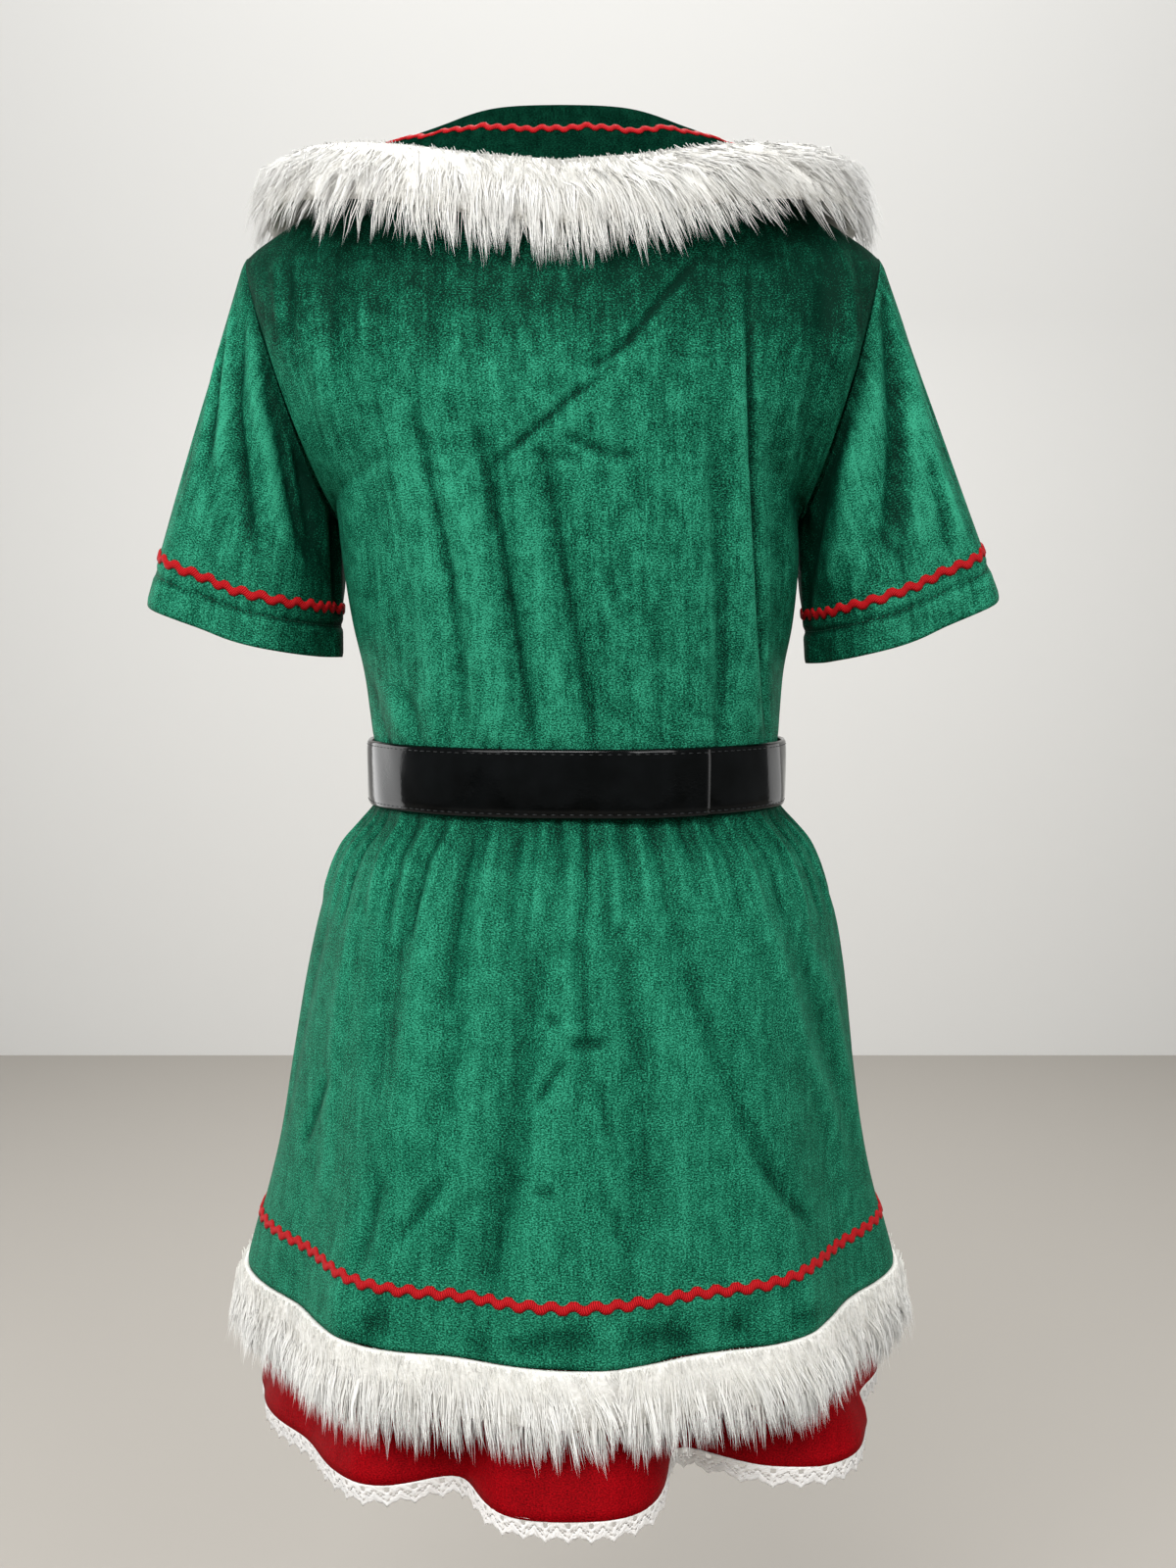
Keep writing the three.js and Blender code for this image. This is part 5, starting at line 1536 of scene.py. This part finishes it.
def fur_pile(name, strands, chance, root, knee, tip, stands, sideways):
    """The pile of a strip: its locks' strands start apart and end close together."""
    locks = len(root)
    spread = chance.normal(0, 1, (locks, strands, 2))
    square_to = unit(np.cross(stands, sideways))
    across_lock = sideways[:, None] * spread[..., :1] + square_to[:, None] * spread[..., 1:]
    own = chance.uniform(0.75, 1.1, (locks, strands, 1))
    roots = root[:, None] + ROOT_SPREAD * across_lock
    knees = mix(root[:, None], knee[:, None], own) + KNEE_SPREAD * across_lock
    knees = knees + chance.normal(0, KNEE_STRAY, (locks, strands, 3))
    tips = mix(root[:, None], tip[:, None], own) + TIP_SPREAD * across_lock
    tips = tips + chance.normal(0, TIP_STRAY, (locks, strands, 3))
    roots, knees, tips = (points.reshape(-1, 3) for points in (roots, knees, tips))

    heading = unit(tips - roots)
    a = unit(np.cross(heading, chance.normal(0, 1, heading.shape)))
    b = np.cross(heading, a)
    t = STRAND[:, 2][None, :, None]
    path = roots[:, None] * (1 - t) * (1 - 2 * t) + knees[:, None] * 4 * t * (1 - t)
    path = path + tips[:, None] * t * (2 * t - 1)
    girth = STRAND_GIRTH * chance.uniform(0.7, 1.2, (len(roots), 1, 1))
    places = path + girth * (STRAND[None, :, :1] * a[:, None] + STRAND[None, :, 1:2] * b[:, None])
    lock_shades = np.repeat(chance.normal(0.55, 0.2, locks), strands)
    shades = np.clip(lock_shades + chance.normal(0, 0.15, len(roots)), 0, 1)
    level = unit(np.stack([stands[:, 0], stands[:, 1], np.maximum(stands[:, 2], 0) + 0.3], -1))
    outward = unit(np.repeat(level, strands, axis=0)[:, None] + 0.3 * (places - path) / girth)
    return copies(name, places, STRAND_FACES, acrylic_fur, shades, STRAND[:, 2], outward)


STRANDS = 6  # in each lock
# Ground, comb, lengths at the seam and beneath, lift, ruffle, exposed corners, and where two strips meet
KINDS = {
    "collar": (collar_ground, COLLAR_COMB, (25, 24), 0.7, 0.13, (0.9, 6.2), 11.25),
    "hem": (hem_ground, HEM_COMB, (31, 21), 0.4, 0.09, (0.75, 6.2), 97.5),
}
FUR_STRIPS = {  # start and end in degrees, locks, seed
    "collar_left": (11.3, 179.8, 1880, 11),
    "collar_right": (-179.8, 11.2, 2020, 12),
    "hem_left": (-89.8, 97.46, 1940, 13),
    "hem_right": (97.54, 269.8, 1840, 14),
}
DEGREES_A_COLUMN = 2.2
grounds, piles = {}, {}
for name, (start, end, locks, seed) in FUR_STRIPS.items():
    ground, comb, lengths, lift, ruffle, exposed, join = KINDS[name.split("_")[0]]
    columns = round(abs(end - start) / DEGREES_A_COLUMN)
    grounds[name] = fur_ground(f"fur_ground_{name}", ground, start, end, columns)
    chance = np.random.default_rng(seed)
    paths = lock_paths(chance, ground, comb, start, end, locks, lengths, lift, ruffle, exposed, join)
    piles[name] = fur_pile(f"fur_pile_{name}", STRANDS, chance, *paths)

# %% [markdown]
# ## Lace
# The edging is sewn under the red hem. Its lower edge is cut in points about 13 mm apart, with a small
# tooth each side, a row of eyelets runs under the hem, and rows of finer holes lighten the ground
# between.

# %% Lace edging
RED_HEM = float(UNDERSKIRT[0][0])
ring = skirt(UNDERSKIRT, UNDERSKIRT_FOLDS, np.linspace(0, 360, 721), np.full(721, RED_HEM), -0.3)
lace_length = float(np.linalg.norm(np.diff(ring, axis=0), axis=1).sum())
POINTS = round(lace_length / 13.4)
CELLS = 10  # columns of the grid to each point
LACE_ROWS = 9
OPEN = 3  # degrees between the lace's two ends at the middle of the front
HOLES = {2: (3, 5), 3: (2, 7), 4: (1, 3, 6, 8), 5: (0, 9), 6: (4, 5), 7: (4, 5)}  # columns cut out, by row


def lace_face(across, up):
    """The lace, round the red hem from the middle of the front, and up from its points to the hem."""
    degrees = (270 + OPEN / 2 + (360 - OPEN) * across) % 360
    phase = (across * POINTS) % 1
    tooth = 1 - np.abs(2 * phase - 1)
    width = 8.4 + 3.6 * tooth**1.1 + 1.1 * np.abs(np.sin(3 * np.pi * phase))
    ripple = 0.8 * (1 - up) * np.sin(9 * np.pi * tooth)
    level = np.full(np.shape(across), RED_HEM)
    place = skirt(UNDERSKIRT, UNDERSKIRT_FOLDS, degrees, level, -0.5 + ripple)
    pushes = red_push_at(degrees, level + 1) * 0.9
    away = unit(place * (1, 1, 0))
    place = place + away * pushes[..., None]
    place[..., 2] = RED_HEM - 0.2 - width * (1 - up)
    return place


lace = lay("lace_edging", POINTS * CELLS, LACE_ROWS, lace_face, cotton_lace, 0.8)
cut = bmesh.new()
cut.from_mesh(lace.data)
holes = []
for number, square in enumerate(cut.faces):
    row, column = divmod(number, POINTS * CELLS)
    if column % CELLS in HOLES.get(row, ()):
        holes.append(square)
print("lace:", POINTS, "points,", len(holes), "cells cut out")
bmesh.ops.delete(cut, geom=holes, context="FACES")
cut.to_mesh(lace.data)
cut.free()

# %% [markdown]
# ## The belt
# The belt is one strap that laps over its own end behind the wearer's right side. It is crowned, its
# edges are turned in and stitched 3 mm from the edge, and it waves very slightly, which its reflections
# show.

# %% Belt
BELT = {"width": 41, "cloth": 2.4, "ease": 1.6, "crown": 0.5}
COLUMNS = 45  # of the belt once round, which its lap is counted in
LAP = {"start": 110, "columns": 2, "climb": 3}  # degrees where the strap starts, and columns of the lap
STITCH_LINE = 3  # mm from the belt's edge


def belt_waves(turn, up):
    """How the soft strap stands off by a fraction of a millimetre, here and there."""
    across_it = 0.24 * np.sin(13 * turn + 2.1) * np.cos(np.pi * up)
    return 0.32 * np.sin(7 * turn + 0.6) + across_it + 0.1 * np.sin(31 * turn + 3 * up)


def belt_face(across, up):
    """The strap, once round the waist and on over its own end, and up from its lower edge."""
    column = across * (COLUMNS + LAP["columns"])
    turn = np.radians(LAP["start"] + 360 / COLUMNS * column)
    climbed = smooth(column, COLUMNS - LAP["climb"], COLUMNS)
    c, s = np.cos(turn), np.sin(turn)
    side, depth = OVERSKIRT[-1][1], np.where(s >= 0, OVERSKIRT[-1][2], OVERSKIRT[-1][3])
    away = unit(np.stack([c / side, s / depth, 0 * c], -1))
    mm_up = up * BELT["width"]
    from_edge = np.minimum(mm_up, BELT["width"] - mm_up)
    over_lap = climbed * (BELT["cloth"] + SEAM_GAP)
    crown = BELT["crown"] * (1 - (2 * up - 1) ** 4)
    stand = BELT["ease"] + BELT["cloth"] + over_lap + crown + belt_waves(turn, up)
    stand = stand - 0.25 * bump(from_edge - STITCH_LINE, 0.7) - 0.9 * bump(from_edge, 0.9)
    place = np.stack([side * c, depth * s, 0 * c], -1) + away * stand[..., None]
    place[..., 0] += read(LEAN, 1, np.full(np.shape(turn), WAIST))
    place[..., 2] = WAIST - BELT["width"] / 2 + mm_up
    return place


belt = lay("vinyl_belt", 230, 26, belt_face, patent_vinyl, 2.2)

# %% [markdown]
# ## Stitches
# Rows of stitches hold the belt's turned edges and the sleeves' hems. A stitch is a short rounded bar
# that lies along its row, half sunk in the cloth.


# %% Stitches
STITCH_STAND = 0.1  # mm that a stitch's middle stands above the cloth


def stitches(name, face, across, up, length, girth, material):
    """Stitches at places on a face, lying round it."""
    maker = bmesh.new()
    bmesh.ops.create_icosphere(maker, subdivisions=1, radius=1)
    shape, faces = template(maker)
    middle = face(across, up)
    out = facing(face, across, up)
    along = face(across + 1e-4, up) - middle
    along = unit(along - out * (along * out).sum(-1, keepdims=True))
    over = np.cross(out, along)
    x, y, z = shape.T[:, None, :, None] * np.array([length / 2, girth, girth])[:, None, None, None]
    places = middle[:, None] + x * along[:, None] + y * over[:, None] + (z + STITCH_STAND) * out[:, None]
    return copies(name, places, faces, material)


def row_of(count):
    """Shares of the way along a row at which its stitches lie."""
    return (np.arange(count) + 0.5) / count


BELT_STITCHES, SLEEVE_STITCHES = 158, 118  # in each row
low, high = STITCH_LINE / BELT["width"], (BELT["width"] - STITCH_LINE) / BELT["width"]
belt_stitches = stitches("belt_stitches", belt_face, np.tile(row_of(BELT_STITCHES), 2),
                         np.repeat([low, high], BELT_STITCHES), 3.6, 0.3, black_thread)
sleeve_stitches = {}
for name in SLEEVES:
    run = row_of(SLEEVE_STITCHES)
    up = HEM_STITCH / sleeve_line(name, run)[2]
    sleeve_stitches[name] = stitches(f"stitches_sleeve_{name}", sleeve_faces[name], run, up, 2.1, 0.26,
                                     green_thread)
print("rows of stitches:", 2 + len(sleeve_stitches))

# %% [markdown]
# ## Putting each piece on the frame
# Every piece rides on the one body. Each piece and strip of fur stands for the imported solid of its name,
# which is hidden; the stitches stand for none.

# %% Riding and replacing
pieces = {
    "bodice_back": (bodice_back, "green_velvet"),
    "bodice_front": (bodice_front, "green_velvet"),
    "sleeve_left": (sleeve_pieces["left"], "green_velvet"),
    "sleeve_right": (sleeve_pieces["right"], "green_velvet"),
    "collar": (collar, "green_velvet"),
    "overskirt_back": (skirt_pieces["overskirt", "back"], "green_velvet"),
    "overskirt_front": (skirt_pieces["overskirt", "front"], "green_velvet"),
    "underskirt_back": (skirt_pieces["underskirt", "back"], "red_velvet"),
    "underskirt_front": (skirt_pieces["underskirt", "front"], "red_velvet"),
    "braid_collar": (braids["collar"], "ricrac"),
    "braid_sleeve_left": (braids["sleeve_left"], "ricrac"),
    "braid_sleeve_right": (braids["sleeve_right"], "ricrac"),
    "braid_hem": (braids["hem"], "ricrac"),
    "lace_hem": (lace, "lace"),
    "belt": (belt, "patent_vinyl"),
}
for node, (piece, slot) in pieces.items():
    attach(piece, "root")
    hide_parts(node)
for name in FUR_STRIPS:
    for piece in (grounds[name], piles[name]):
        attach(piece, "root")
        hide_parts(f"fur_{name}")
rows_of_stitches = [
    (belt_stitches, "patent_vinyl"),
    (sleeve_stitches["left"], "green_velvet"),
    (sleeve_stitches["right"], "green_velvet"),
]
for piece, slot in rows_of_stitches:
    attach(piece, "root")
print("declared", len(pieces) + 2 * len(FUR_STRIPS) + len(rows_of_stitches), "pieces")

# %% Cut sizes
FUR_CUTS = {
    "collar_left": (0.444, 0.091),
    "collar_right": (0.481, 0.089),
    "hem_left": (0.652, 0.07),
    "hem_right": (0.597, 0.07),
}
for name, cut_size in FUR_CUTS.items():
    rests = collar if "collar" in name else skirt_pieces["overskirt", "back"]
print("lace and fur strips, m long:", round(lace_length * MM, 3), [cut[0] for cut in FUR_CUTS.values()])
